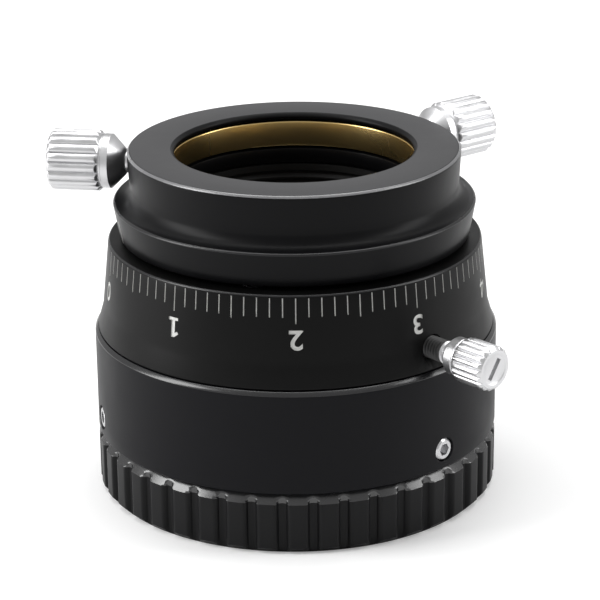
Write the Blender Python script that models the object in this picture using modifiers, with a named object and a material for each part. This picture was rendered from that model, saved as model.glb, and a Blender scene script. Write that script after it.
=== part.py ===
"""Helical focuser for 1.25 inch eyepieces and guide cameras.

Units are metres.  The optical axis is Z, the origin is the middle of the face that meets
the telescope, and the eyepiece goes in from above.  The pieces are shown fully wound in,
with the zero of the scale at the index mark.

From the telescope upwards: a ribbed adapter ring with a T2 socket, a fixed base whose
neck carries everything else, a scale drum that turns a flanged nut on that neck, and a
drawtube that the nut's three-start thread lifts while three lugs keep it from turning.
"""

import math

import bmesh
import bpy
from mathutils import Matrix, Vector

MM = 0.001

# Clearances
RUNNING_GAP = 0.3 * MM      # between surfaces that slide on each other
SEAT_GAP = 0.3 * MM         # between surfaces that rest on each other
SCREW_GAP = 0.2 * MM        # round the shank of a screw or pin

# Facets: the ribbed ring has one flat for each rib
RING_STEPS = 48
THREAD_STEPS = 36
SCREW_STEPS = 16

# Eyepiece socket
BARREL_DIAMETER = 31.75 * MM
BARREL_SLIP = 0.15 * MM

# Helicoid: three-start thread of the drawtube and the nut
THREAD_STARTS = 3
THREAD_LEAD = 9.6 * MM
THREAD_DEPTH = 0.85 * MM
THREAD_ROOT_WIDTH = 1.5 * MM
THREAD_CREST_WIDTH = 0.9 * MM
THREAD_LENGTH = 13.0 * MM
FOCUS_TRAVEL = 8.5 * MM

# Drawtube
TUBE_WALL = 1.6 * MM
TUBE_FOOT_CLEARANCE = 0.5 * MM
TUBE_THREAD_INSET = 0.9 * MM
KEYWAY_OVERRUN = 1.0 * MM
BAFFLE_INSET = 0.8 * MM
BAFFLE_PITCH = 1.2 * MM
BAFFLE_DEPTH = 0.4 * MM
KEY_COUNT = 3
KEY_WIDTH = 3.4 * MM
KEYWAY_DEPTH = 0.8 * MM
KEY_END_CLEARANCE = 0.1 * MM
KEY_FIRST_ANGLE = 90.0

# Adapter ring with its T2 (M42 x 0.75) socket
ADAPTER_HEIGHT = 8.1 * MM
ADAPTER_FOOT_CHAMFER = 0.8 * MM
ADAPTER_TOP_CHAMFER = 0.5 * MM
ADAPTER_BORE_CLEARANCE = 0.6 * MM
T2_MINOR_DIAMETER = 41.2 * MM
T2_DEPTH = 6.5 * MM
SOCKET_CHAMFER = 0.5 * MM
RIB_COUNT = 42
RIB_GROOVE_WIDTH = 1.3 * MM
RIB_GROOVE_DEPTH = 0.7 * MM
SPIGOT_HEIGHT = 6.1 * MM
SPIGOT_WALL = 2.7 * MM
GROOVE_DEPTH = 1.0 * MM
GROOVE_FLOOR_WIDTH = 0.6 * MM

# Base, flush with the adapter ring, and the set screws that hold it on the spigot
BASE_RIM = 0.5 * MM
BASE_HEIGHT = 14.1 * MM
BASE_WALL = 2.3 * MM
BASE_EDGE_CHAMFER = 0.5 * MM
NECK_HEIGHT = 7.4 * MM
NECK_WALL = 1.7 * MM
NECK_CHAMFER = 0.3 * MM
SET_SCREW_COUNT = 3
SET_SCREW_FIRST_ANGLE = -45.0
SET_SCREW_RISE = 2.9 * MM
SET_SCREW_RADIUS = 1.5 * MM
SET_SCREW_POINT_RADIUS = 0.5 * MM
SET_SCREW_INSET = 0.1 * MM
SET_SCREW_HEX = 1.5 * MM
SET_SCREW_HEX_DEPTH = 1.2 * MM

# Guide ring and its screws
GUIDE_THICKNESS = 3.2 * MM
GUIDE_SCREW_FIRST_ANGLE = 30.0
GUIDE_SCREW_RADIUS = 0.8 * MM
GUIDE_SCREW_HEAD_RADIUS = 1.25 * MM
GUIDE_SCREW_HEAD_HEIGHT = 0.9 * MM
GUIDE_SCREW_GRIP = 2.4 * MM
GUIDE_SCREW_WALL = 0.3 * MM
GUIDE_SCREW_HEX = 0.9 * MM
GUIDE_SCREW_HEX_DEPTH = 0.6 * MM

# Nut, its retaining ring and the two washers
NUT_WALL = 1.8 * MM
NUT_END_WALL = 1.2 * MM
NUT_FLANGE_THICKNESS = 2.2 * MM
THRUST_WASHER_THICKNESS = 0.5 * MM
THRUST_WASHER_WIDTH = 1.4 * MM
THRUST_WASHER_INSET = 0.1 * MM
RETAINER_THICKNESS = 1.5 * MM
RETAINER_WIDTH = 1.2 * MM
RETAINER_NOTCHES = 4
RETAINER_NOTCH_WIDTH = 1.6 * MM
RETAINER_NOTCH_DEPTH = 0.7 * MM
WAVE_THICKNESS = 0.3 * MM
WAVE_HEIGHT = 0.3 * MM
WAVE_COUNT = 3

# Scale drum
DRUM_HEIGHT = 12.0 * MM
DRUM_WALL = 2.3 * MM
DRUM_TAPER = 1.0 * MM
DRUM_FLARE = 0.7 * MM
DRUM_SKIRT_HEIGHT = 2.5 * MM
DRUM_EDGE_CHAMFER = 0.25 * MM
DRUM_LIP_THICKNESS = 1.3 * MM
DRUM_LIP_GAP = 0.6 * MM
DRUM_SCREW_COUNT = 3
DRUM_SCREW_FIRST_ANGLE = 15.0
DRUM_SCREW_RADIUS = 1.0 * MM
DRUM_SCREW_HEAD_RADIUS = 1.6 * MM
DRUM_SCREW_HEAD_HEIGHT = 1.0 * MM
DRUM_SCREW_HEX = 1.1 * MM
DRUM_SCREW_HEX_DEPTH = 0.7 * MM
STOP_PIN_RADIUS = 0.6 * MM
STOP_PIN_OFFSET = 1.3 * MM
STOP_PIN_FLOOR = 0.7 * MM
STOP_PIN_REACH = 0.7 * MM
STOP_PIN_ANGLE = 90.0

# Eyepiece holder at the top of the drawtube
HEAD_GAP = 0.6 * MM
HEAD_HEIGHT = 11.5 * MM
HEAD_WALL = 6.3 * MM
HEAD_WAIST_DEPTH = 0.25 * MM
HEAD_EDGE_CHAMFER = 0.3 * MM
FLANGE_REACH = 2.3 * MM
FLANGE_TAPER = 0.8 * MM
FLANGE_HEIGHT = 4.6 * MM
FLANGE_EDGE_CHAMFER = 0.2 * MM
COVE_HEIGHT = 1.8 * MM
COVE_POINTS = 4
HEAD_SOCKET_DEPTH = 4.4 * MM
HEAD_MOUTH_CHAMFER = 0.4 * MM
HEAD_SCREW_ANGLE = 103.5
HEAD_SCREW_RISE = 2.0 * MM
HEAD_SCREW_RADIUS = 1.25 * MM
HEAD_SCREW_HEX = 1.3 * MM
HEAD_SCREW_HEX_DEPTH = 1.2 * MM

# Split compression ring
CLAMP_RING_THICKNESS = 1.2 * MM
CLAMP_RING_HEIGHT = 3.6 * MM
CLAMP_RING_RECESS = 0.15 * MM
CLAMP_RING_SLIT = 8.0
CLAMP_RING_SLIT_ANGLE = -76.5

# Thumbscrews: two clamp the eyepiece, a smaller one with a slotted knob locks the drum
CLAMP_ANGLES = (171.0, 38.0)
CLAMP_DEPTH = 3.0 * MM
CLAMP_STANDOFF = 0.5 * MM
CLAMP_CONE_LENGTH = 1.9 * MM
CLAMP_SHOULDER_LENGTH = 1.4 * MM
CLAMP_KNOB_RADIUS = 4.15 * MM
CLAMP_KNOB_LENGTH = 7.1 * MM
LOCK_ANGLE = -47.5
LOCK_RISE = 2.9 * MM
LOCK_STANDOFF = 3.2 * MM
LOCK_CONE_LENGTH = 0.8 * MM
LOCK_SHOULDER_LENGTH = 1.6 * MM
LOCK_KNOB_RADIUS = 2.95 * MM
LOCK_KNOB_LENGTH = 5.25 * MM
LOCK_SLOT_LENGTH = 3.0 * MM
LOCK_SLOT_WIDTH = 0.7 * MM
LOCK_SLOT_DEPTH = 0.7 * MM
LOCK_SLOT_ANGLE = -34.0
TIP_RADIUS = 1.3 * MM
TIP_LENGTH = 1.0 * MM
THUMB_SHANK_RADIUS = 1.5 * MM
THUMB_SHOULDER_STEP = 0.1 * MM
THUMB_CHAMFER = 0.4 * MM
KNURL_RIDGES = 16
KNURL_DEPTH = 0.35 * MM

# Radii, from the axis outwards
BORE_RADIUS = (BARREL_DIAMETER + BARREL_SLIP) / 2
TUBE_RADIUS = BORE_RADIUS + TUBE_WALL
THREAD_RADIUS = TUBE_RADIUS + THREAD_DEPTH
NUT_BORE_RADIUS = TUBE_RADIUS + RUNNING_GAP
NUT_ROOT_RADIUS = THREAD_RADIUS + RUNNING_GAP
NUT_RADIUS = NUT_ROOT_RADIUS + NUT_WALL
NUT_END_RADIUS = NUT_ROOT_RADIUS + NUT_END_WALL
NECK_BORE_RADIUS = NUT_RADIUS + RUNNING_GAP
NECK_RADIUS = NECK_BORE_RADIUS + NECK_WALL
DRUM_BORE_RADIUS = NECK_RADIUS + RUNNING_GAP
DRUM_LIP_RADIUS = THREAD_RADIUS + DRUM_LIP_GAP
RETAINER_BORE_RADIUS = NUT_END_RADIUS + SEAT_GAP
RETAINER_RADIUS = RETAINER_BORE_RADIUS + RETAINER_WIDTH
CAVITY_RADIUS = RETAINER_RADIUS + RUNNING_GAP
DRUM_TOP_RADIUS = DRUM_BORE_RADIUS + DRUM_WALL
DRUM_WAIST_RADIUS = DRUM_TOP_RADIUS + DRUM_TAPER
DRUM_SKIRT_RADIUS = DRUM_WAIST_RADIUS + DRUM_FLARE
STOP_PIN_CIRCLE = DRUM_BORE_RADIUS + STOP_PIN_OFFSET
BASE_RADIUS = DRUM_SKIRT_RADIUS + BASE_RIM
ADAPTER_RADIUS = BASE_RADIUS
ADAPTER_BORE_RADIUS = THREAD_RADIUS + ADAPTER_BORE_CLEARANCE
SOCKET_RADIUS = BASE_RADIUS - BASE_WALL
GUIDE_SCREW_CIRCLE = CAVITY_RADIUS + GUIDE_SCREW_WALL + SCREW_GAP + GUIDE_SCREW_RADIUS
SPIGOT_RADIUS = SOCKET_RADIUS - SEAT_GAP
SPIGOT_BORE_RADIUS = SPIGOT_RADIUS - SPIGOT_WALL
KEYWAY_FLOOR_RADIUS = TUBE_RADIUS - KEYWAY_DEPTH
HEAD_RADIUS = BORE_RADIUS + HEAD_WALL
HEAD_WAIST_RADIUS = HEAD_RADIUS - HEAD_WAIST_DEPTH
FLANGE_RADIUS = HEAD_WAIST_RADIUS + FLANGE_REACH
FLANGE_FOOT_RADIUS = FLANGE_RADIUS - FLANGE_TAPER

# Heights, from the telescope upwards
TUBE_FOOT = T2_DEPTH + TUBE_FOOT_CLEARANCE
SPIGOT_TOP = ADAPTER_HEIGHT + SPIGOT_HEIGHT
SET_SCREW_HEIGHT = ADAPTER_HEIGHT + SET_SCREW_RISE
BASE_FOOT = ADAPTER_HEIGHT + SEAT_GAP
BASE_TOP = BASE_FOOT + BASE_HEIGHT
NECK_TOP = BASE_TOP + NECK_HEIGHT
LOCK_HEIGHT = BASE_TOP + LOCK_RISE
GUIDE_FOOT = SPIGOT_TOP + SEAT_GAP
GUIDE_TOP = GUIDE_FOOT + GUIDE_THICKNESS
GUIDE_SEAT = GUIDE_TOP + SEAT_GAP
STOP_PIN_FOOT = GUIDE_SEAT + STOP_PIN_FLOOR
NUT_FOOT = GUIDE_TOP + 2 * SEAT_GAP
TUBE_THREAD_FOOT = NUT_FOOT + TUBE_THREAD_INSET
RETAINER_FOOT = NUT_FOOT + SEAT_GAP
RETAINER_TOP = RETAINER_FOOT + RETAINER_THICKNESS
WAVE_FOOT = RETAINER_TOP + SEAT_GAP
CAVITY_ROOF = WAVE_FOOT + WAVE_HEIGHT + WAVE_THICKNESS + SEAT_GAP
NUT_STEP = CAVITY_ROOF + RUNNING_GAP
THRUST_WASHER_FOOT = NECK_TOP + SEAT_GAP
NUT_FLANGE_FOOT = THRUST_WASHER_FOOT + THRUST_WASHER_THICKNESS + SEAT_GAP
NUT_TOP = NUT_FLANGE_FOOT + NUT_FLANGE_THICKNESS
DRUM_FOOT = BASE_TOP + RUNNING_GAP
DRUM_TOP = DRUM_FOOT + DRUM_HEIGHT
DRUM_LIP_FOOT = DRUM_TOP - DRUM_LIP_THICKNESS
HEAD_FOOT = DRUM_TOP + HEAD_GAP
HEAD_TOP = HEAD_FOOT + HEAD_HEIGHT
TUBE_TOP = HEAD_FOOT + HEAD_SOCKET_DEPTH - SEAT_GAP
CLAMP_HEIGHT = HEAD_TOP - CLAMP_DEPTH

# Angle that the drum turns through over the whole travel
FOCUS_ANGLE = 360.0 * FOCUS_TRAVEL / THREAD_LEAD


def clear_scene():
    """Remove every object, so that the model starts in an empty file."""
    for old in list(bpy.data.objects):
        bpy.data.objects.remove(old, do_unlink=True)


def new_collection(name):
    collection = bpy.data.collections.new(name)
    bpy.context.scene.collection.children.link(collection)
    return collection


def finish(name, colour, roughness, metallic):
    """Plain Principled material."""
    material = bpy.data.materials.new(name)
    material.use_nodes = True
    shader = material.node_tree.nodes["Principled BSDF"]
    shader.inputs["Base Color"].default_value = (*colour, 1.0)
    shader.inputs["Roughness"].default_value = roughness
    shader.inputs["Metallic"].default_value = metallic
    return material


clear_scene()
PIECES = new_collection("helical_focuser")
CUTTERS = new_collection("cutters")

BLACK_ANODISED = finish("black_anodised", (0.022, 0.022, 0.025), 0.42, 0.6)
BARE_ALUMINIUM = finish("bare_aluminium", (0.62, 0.62, 0.64), 0.35, 1.0)
BRIGHT_STEEL = finish("bright_steel", (0.72, 0.72, 0.72), 0.25, 1.0)
BRASS = finish("brass", (0.71, 0.52, 0.22), 0.3, 1.0)
SLIDING_PLASTIC = finish("sliding_plastic", (0.82, 0.81, 0.77), 0.55, 0.0)
SPRING_STEEL = finish("spring_steel", (0.45, 0.46, 0.48), 0.3, 1.0)


def carrier(name, parent=None, location=(0.0, 0.0, 0.0)):
    """Empty on a joint's axis, which carries the pieces that move together."""
    empty = bpy.data.objects.new(name, None)
    empty.location = location
    empty.parent = parent
    PIECES.objects.link(empty)
    return empty


def evenly(count, first_angle):
    """Angles in degrees of parts spaced evenly round the axis."""
    return [first_angle + 360.0 * index / count for index in range(count)]


def add_piece(name, mesh, material, parent, location=(0.0, 0.0, 0.0), rotation=(0.0, 0.0, 0.0)):
    piece = bpy.data.objects.new(name, mesh)
    piece.location = location
    piece.rotation_euler = rotation
    piece.parent = parent
    mesh.materials.append(material)
    PIECES.objects.link(piece)
    return piece


def add_cutter(name, mesh, location=(0.0, 0.0, 0.0), rotation=(0.0, 0.0, 0.0)):
    cutter = bpy.data.objects.new(name, mesh)
    cutter.location = location
    cutter.rotation_euler = rotation
    cutter.hide_render = True
    cutter.display_type = "WIRE"
    CUTTERS.objects.link(cutter)
    return cutter


def combine(piece, other, operation):
    boolean = piece.modifiers.new(other.name, "BOOLEAN")
    boolean.operation = operation
    boolean.object = other
    boolean.solver = "EXACT"


def outward(angle, radius, height):
    """Place on a circle round the axis, with local +Z pointing away from the axis."""
    turn = math.radians(angle)
    location = (radius * math.cos(turn), radius * math.sin(turn), height)
    return location, (0.0, math.pi / 2, turn)


def upright(angle, radius, height, upside_down=False):
    """Place on a circle round the axis, with local +Z up or down."""
    turn = math.radians(angle)
    location = (radius * math.cos(turn), radius * math.sin(turn), height)
    return location, (math.pi if upside_down else 0.0, 0.0, turn)


def profile_mesh(name, points, closed):
    """Turned profile of (radius, height) points: down its outer side, then up its bore."""
    shape = bmesh.new()
    corners = [shape.verts.new((radius, 0.0, height)) for radius, height in points]
    for start, end in zip(corners, corners[1:]):
        shape.edges.new((start, end))
    if closed:
        shape.edges.new((corners[-1], corners[0]))
    mesh = bpy.data.meshes.new(name)
    shape.to_mesh(mesh)
    shape.free()
    return mesh


def turn_profile(item, steps):
    """Sweep the profile once round the item's own Z axis."""
    screw = item.modifiers.new("turned", "SCREW")
    screw.axis = "Z"
    screw.angle = 2 * math.pi
    screw.steps = steps
    screw.render_steps = steps
    screw.use_merge_vertices = True
    screw.merge_threshold = 0.00001
    screw.use_smooth_shade = True


def ring(name, points, material, parent, seat, steps=RING_STEPS):
    """Turned ring on the optical axis; its origin is on the axis at the seat's height."""
    local = [(radius, height - seat) for radius, height in points]
    piece = add_piece(name, profile_mesh(name, local, True), material, parent, (0.0, 0.0, seat))
    turn_profile(piece, steps)
    return piece


def turned_piece(name, points, material, parent, place, steps=SCREW_STEPS):
    """Solid turned piece with its own axis, such as a screw; points run tip to head."""
    piece = add_piece(name, profile_mesh(name, points, False), material, parent, *place)
    turn_profile(piece, steps)
    return piece


def turned_hole(target, name, points, place, steps=SCREW_STEPS):
    cutter = add_cutter(name, profile_mesh(name, points, False), *place)
    turn_profile(cutter, steps)
    combine(target, cutter, "DIFFERENCE")


def rod(radius, start, end):
    """Profile of a plain rod along local Z, from its upper to its lower end."""
    return [(0.0, end), (radius, end), (radius, start), (0.0, start)]


def mesh_from(shape, name):
    bmesh.ops.recalc_face_normals(shape, faces=shape.faces)
    mesh = bpy.data.meshes.new(name)
    shape.to_mesh(mesh)
    shape.free()
    return mesh


def add_block(shape, size, middle, angle):
    """Box of the given size, its middle at (radius, height), turned to an angle."""
    radius, height = middle
    place = Matrix.Rotation(math.radians(angle), 4, "Z") @ Matrix.Translation((radius, 0.0, height))
    bmesh.ops.create_cube(shape, size=1.0, matrix=place @ Matrix.Diagonal((*size, 1.0)))


def radial_blocks(name, size, middle, angles):
    """One mesh with the same box at each angle round the axis."""
    shape = bmesh.new()
    for angle in angles:
        add_block(shape, size, middle, angle)
    return mesh_from(shape, name)


def swept_section(shape, points, first_angle, sweep, steps, rise):
    """Closed section swept round the axis, rising as it goes, with both ends capped."""
    start = Matrix.Rotation(math.radians(first_angle), 4, "Z")
    corners = [shape.verts.new(start @ Vector((radius, 0.0, height))) for radius, height in points]
    loop = [shape.edges.new((a, b)) for a, b in zip(corners, corners[1:] + corners[:1])]
    swept = bmesh.ops.spin(shape, geom=corners + loop, cent=(0.0, 0.0, 0.0), axis=(0.0, 0.0, 1.0),
                           dvec=(0.0, 0.0, rise / steps), angle=math.radians(sweep), steps=steps)
    last = [item for item in swept["geom_last"] if isinstance(item, bmesh.types.BMEdge)]
    bmesh.ops.edgeloop_fill(shape, edges=loop)
    bmesh.ops.edgeloop_fill(shape, edges=last)


def thread_bars(name, inner_radius, crest_radius, gap, foot, top):
    """The helical ridges of the thread, widened by the gap where they cut the nut."""
    slope = (THREAD_ROOT_WIDTH - THREAD_CREST_WIDTH) / 2 / THREAD_DEPTH

    def half_width(radius):
        return THREAD_ROOT_WIDTH / 2 - (radius - TUBE_RADIUS) * slope + gap

    inner, crest = half_width(inner_radius), half_width(crest_radius)
    turns = (top - foot) / THREAD_LEAD
    steps = max(1, round(turns * THREAD_STEPS))
    phase = 360.0 * (foot - TUBE_THREAD_FOOT) / THREAD_LEAD
    section = [(inner_radius, foot - inner), (crest_radius, foot - crest),
               (crest_radius, foot + crest), (inner_radius, foot + inner)]
    shape = bmesh.new()
    for angle in evenly(THREAD_STARTS, phase):
        swept_section(shape, section, angle, 360.0 * turns, steps, top - foot)
    return mesh_from(shape, name)


def countersunk(shank_radius, head_radius, head_height, length, grow=0.0):
    """Countersunk screw with its head's face at local zero and its shank below."""
    return [(0.0, grow), (head_radius + grow, grow), (head_radius + grow, -0.1 * head_height),
            (shank_radius + grow, -head_height), (shank_radius + grow, -length - grow),
            (0.0, -length - grow)]


def hex_socket(screw, across_flats, depth, face):
    """Hexagon recess in the end face of a screw."""
    shape = bmesh.new()
    radius = across_flats / math.sqrt(3)
    reach = 0.5 * MM
    middle = Matrix.Translation((0.0, 0.0, face + (reach - depth) / 2))
    bmesh.ops.create_cone(shape, cap_ends=True, segments=6, radius1=radius, radius2=radius,
                          depth=depth + reach, matrix=middle)
    cutter = add_cutter(screw.name + "_socket", mesh_from(shape, screw.name + "_socket"))
    cutter.parent = screw
    combine(screw, cutter, "DIFFERENCE")


adapter = carrier("adapter_carrier")
base = carrier("base_carrier", adapter)
focus = carrier("focus_carrier", base)
draw = carrier("draw_carrier", base)


def make_adapter_ring():
    """Ribbed ring that screws to the telescope, with the spigot that the base turns on."""
    half_floor = GROOVE_FLOOR_WIDTH / 2
    half_mouth = half_floor + GROOVE_DEPTH
    t2_radius = T2_MINOR_DIAMETER / 2
    points = [
        (ADAPTER_RADIUS - ADAPTER_TOP_CHAMFER, ADAPTER_HEIGHT),
        (ADAPTER_RADIUS, ADAPTER_HEIGHT - ADAPTER_TOP_CHAMFER),
        (ADAPTER_RADIUS, ADAPTER_FOOT_CHAMFER),
        (ADAPTER_RADIUS - ADAPTER_FOOT_CHAMFER, 0.0),
        (t2_radius + SOCKET_CHAMFER, 0.0),
        (t2_radius, SOCKET_CHAMFER),
        (t2_radius, T2_DEPTH),
        (ADAPTER_BORE_RADIUS, T2_DEPTH),
        (ADAPTER_BORE_RADIUS, ADAPTER_HEIGHT),
        (SPIGOT_BORE_RADIUS, ADAPTER_HEIGHT),
        (SPIGOT_BORE_RADIUS, SPIGOT_TOP),
        (SPIGOT_RADIUS, SPIGOT_TOP),
        (SPIGOT_RADIUS, SET_SCREW_HEIGHT + half_mouth),
        (SPIGOT_RADIUS - GROOVE_DEPTH, SET_SCREW_HEIGHT + half_floor),
        (SPIGOT_RADIUS - GROOVE_DEPTH, SET_SCREW_HEIGHT - half_floor),
        (SPIGOT_RADIUS, SET_SCREW_HEIGHT - half_mouth),
        (SPIGOT_RADIUS, ADAPTER_HEIGHT),
    ]
    body = ring("adapter_ring", points, BLACK_ANODISED, adapter, 0.0, RIB_COUNT)
    size = (2 * RIB_GROOVE_DEPTH, RIB_GROOVE_WIDTH, 2 * ADAPTER_HEIGHT)
    grooves = radial_blocks("rib_grooves", size, (ADAPTER_RADIUS, ADAPTER_HEIGHT / 2),
                            evenly(RIB_COUNT, 0.0))
    combine(body, add_cutter("rib_grooves", grooves), "DIFFERENCE")


def make_base():
    """Fixed ring with its neck, and the set screws that hold it on the spigot."""
    points = [
        (NECK_RADIUS - NECK_CHAMFER, NECK_TOP),
        (NECK_RADIUS, NECK_TOP - NECK_CHAMFER),
        (NECK_RADIUS, BASE_TOP),
        (BASE_RADIUS - BASE_EDGE_CHAMFER, BASE_TOP),
        (BASE_RADIUS, BASE_TOP - BASE_EDGE_CHAMFER),
        (BASE_RADIUS, BASE_FOOT),
        (SOCKET_RADIUS, BASE_FOOT),
        (SOCKET_RADIUS, GUIDE_SEAT),
        (CAVITY_RADIUS, GUIDE_SEAT),
        (CAVITY_RADIUS, CAVITY_ROOF),
        (NECK_BORE_RADIUS, CAVITY_ROOF),
        (NECK_BORE_RADIUS, NECK_TOP),
    ]
    body = ring("base_housing", points, BLACK_ANODISED, base, BASE_FOOT)

    inner = SPIGOT_RADIUS - SEAT_GAP
    length = BASE_RADIUS - inner - SET_SCREW_INSET
    screw = [(0.0, length), (SET_SCREW_RADIUS, length),
             (SET_SCREW_RADIUS, SET_SCREW_RADIUS - SET_SCREW_POINT_RADIUS),
             (SET_SCREW_POINT_RADIUS, 0.0), (0.0, 0.0)]
    for index, angle in enumerate(evenly(SET_SCREW_COUNT, SET_SCREW_FIRST_ANGLE), 1):
        name = f"base_set_screw_{index}"
        place = outward(angle, inner, SET_SCREW_HEIGHT)
        piece = turned_piece(name, screw, BRIGHT_STEEL, base, place)
        hex_socket(piece, SET_SCREW_HEX, SET_SCREW_HEX_DEPTH, length)
        hole = rod(SET_SCREW_RADIUS + SCREW_GAP, 0.0, 2 * length)
        turned_hole(body, name + "_hole", hole, place)

    place = upright(STOP_PIN_ANGLE, STOP_PIN_CIRCLE, STOP_PIN_FOOT)
    depth = BASE_TOP - STOP_PIN_FOOT
    hole = rod(STOP_PIN_RADIUS + SCREW_GAP, -SCREW_GAP, 2 * depth)
    turned_hole(body, "stop_pin_hole", hole, place)
    pin = rod(STOP_PIN_RADIUS, 0.0, depth + STOP_PIN_REACH)
    turned_piece("stop_pin", pin, BRIGHT_STEEL, base, place)
    return body


def make_guide_ring(body):
    """Ring whose lugs run in the drawtube's keyways, screwed up into the base."""
    bore = TUBE_RADIUS + RUNNING_GAP
    outer = SOCKET_RADIUS - SEAT_GAP
    points = [(outer, GUIDE_TOP), (outer, GUIDE_FOOT), (bore, GUIDE_FOOT), (bore, GUIDE_TOP)]
    guide = ring("guide_ring", points, BARE_ALUMINIUM, base, GUIDE_FOOT)

    lug_tip = KEYWAY_FLOOR_RADIUS + RUNNING_GAP
    lug_root = (bore + outer) / 2
    size = (lug_root - lug_tip, KEY_WIDTH, GUIDE_THICKNESS - 2 * KEY_END_CLEARANCE)
    middle = ((lug_root + lug_tip) / 2, (GUIDE_FOOT + GUIDE_TOP) / 2)
    lugs = radial_blocks("guide_lugs", size, middle, evenly(KEY_COUNT, KEY_FIRST_ANGLE))
    combine(guide, add_cutter("guide_lugs", lugs), "UNION")

    sizes = (GUIDE_SCREW_RADIUS, GUIDE_SCREW_HEAD_RADIUS, GUIDE_SCREW_HEAD_HEIGHT,
             GUIDE_THICKNESS + GUIDE_SCREW_GRIP)
    for index, angle in enumerate(evenly(KEY_COUNT, GUIDE_SCREW_FIRST_ANGLE), 1):
        name = f"guide_screw_{index}"
        place = upright(angle, GUIDE_SCREW_CIRCLE, GUIDE_FOOT, True)
        piece = turned_piece(name, countersunk(*sizes), BRIGHT_STEEL, base, place)
        hex_socket(piece, GUIDE_SCREW_HEX, GUIDE_SCREW_HEX_DEPTH, 0.0)
        turned_hole(guide, name + "_seat", countersunk(*sizes, SCREW_GAP), place)
        turned_hole(body, name + "_hole", countersunk(*sizes, SCREW_GAP), place)


def make_nut():
    """Flanged nut in the neck, with what holds it there."""
    points = [
        (NECK_RADIUS, NUT_TOP),
        (NECK_RADIUS, NUT_FLANGE_FOOT),
        (NUT_RADIUS, NUT_FLANGE_FOOT),
        (NUT_RADIUS, NUT_STEP),
        (NUT_END_RADIUS, NUT_STEP),
        (NUT_END_RADIUS, NUT_FOOT),
        (NUT_BORE_RADIUS, NUT_FOOT),
        (NUT_BORE_RADIUS, NUT_TOP),
    ]
    nut = ring("helicoid_nut", points, BARE_ALUMINIUM, focus, NUT_FOOT, THREAD_STEPS)
    overrun = THREAD_ROOT_WIDTH
    bars = thread_bars("nut_thread", NUT_BORE_RADIUS - RUNNING_GAP, NUT_ROOT_RADIUS, RUNNING_GAP,
                       NUT_FOOT - overrun, NUT_TOP + overrun)
    combine(nut, add_cutter("nut_thread", bars), "DIFFERENCE")

    inner = NECK_BORE_RADIUS + THRUST_WASHER_INSET
    outer = inner + THRUST_WASHER_WIDTH
    washer_top = THRUST_WASHER_FOOT + THRUST_WASHER_THICKNESS
    points = [(outer, washer_top), (outer, THRUST_WASHER_FOOT), (inner, THRUST_WASHER_FOOT),
              (inner, washer_top)]
    ring("thrust_washer", points, SLIDING_PLASTIC, base, THRUST_WASHER_FOOT)

    points = [(RETAINER_RADIUS, RETAINER_TOP), (RETAINER_RADIUS, RETAINER_FOOT),
              (RETAINER_BORE_RADIUS, RETAINER_FOOT), (RETAINER_BORE_RADIUS, RETAINER_TOP)]
    retainer = ring("retaining_ring", points, BARE_ALUMINIUM, focus, RETAINER_FOOT)
    size = (2 * RETAINER_WIDTH, RETAINER_NOTCH_WIDTH, 2 * RETAINER_NOTCH_DEPTH)
    middle = ((RETAINER_BORE_RADIUS + RETAINER_RADIUS) / 2, RETAINER_FOOT)
    notches = radial_blocks("spanner_notches", size, middle, evenly(RETAINER_NOTCHES, 0.0))
    combine(retainer, add_cutter("spanner_notches", notches), "DIFFERENCE")
    make_wave_washer()
    return nut


def make_wave_washer():
    """Thin spring ring, waved up and down between the retaining ring and the neck."""
    shape = bmesh.new()
    corners = [shape.verts.new((radius, 0.0, height)) for radius, height in (
        (RETAINER_BORE_RADIUS, 0.0), (RETAINER_RADIUS, 0.0),
        (RETAINER_RADIUS, WAVE_THICKNESS), (RETAINER_BORE_RADIUS, WAVE_THICKNESS))]
    loop = [shape.edges.new((a, b)) for a, b in zip(corners, corners[1:] + corners[:1])]
    bmesh.ops.spin(shape, geom=corners + loop, cent=(0.0, 0.0, 0.0), axis=(0.0, 0.0, 1.0),
                   angle=2 * math.pi, steps=RING_STEPS, use_merge=True)
    for corner in shape.verts:
        angle = math.atan2(corner.co.y, corner.co.x)
        corner.co.z += WAVE_HEIGHT / 2 * (1 + math.sin(WAVE_COUNT * angle))
    add_piece("wave_washer", mesh_from(shape, "wave_washer"), SPRING_STEEL, focus,
              (0.0, 0.0, WAVE_FOOT))


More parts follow.
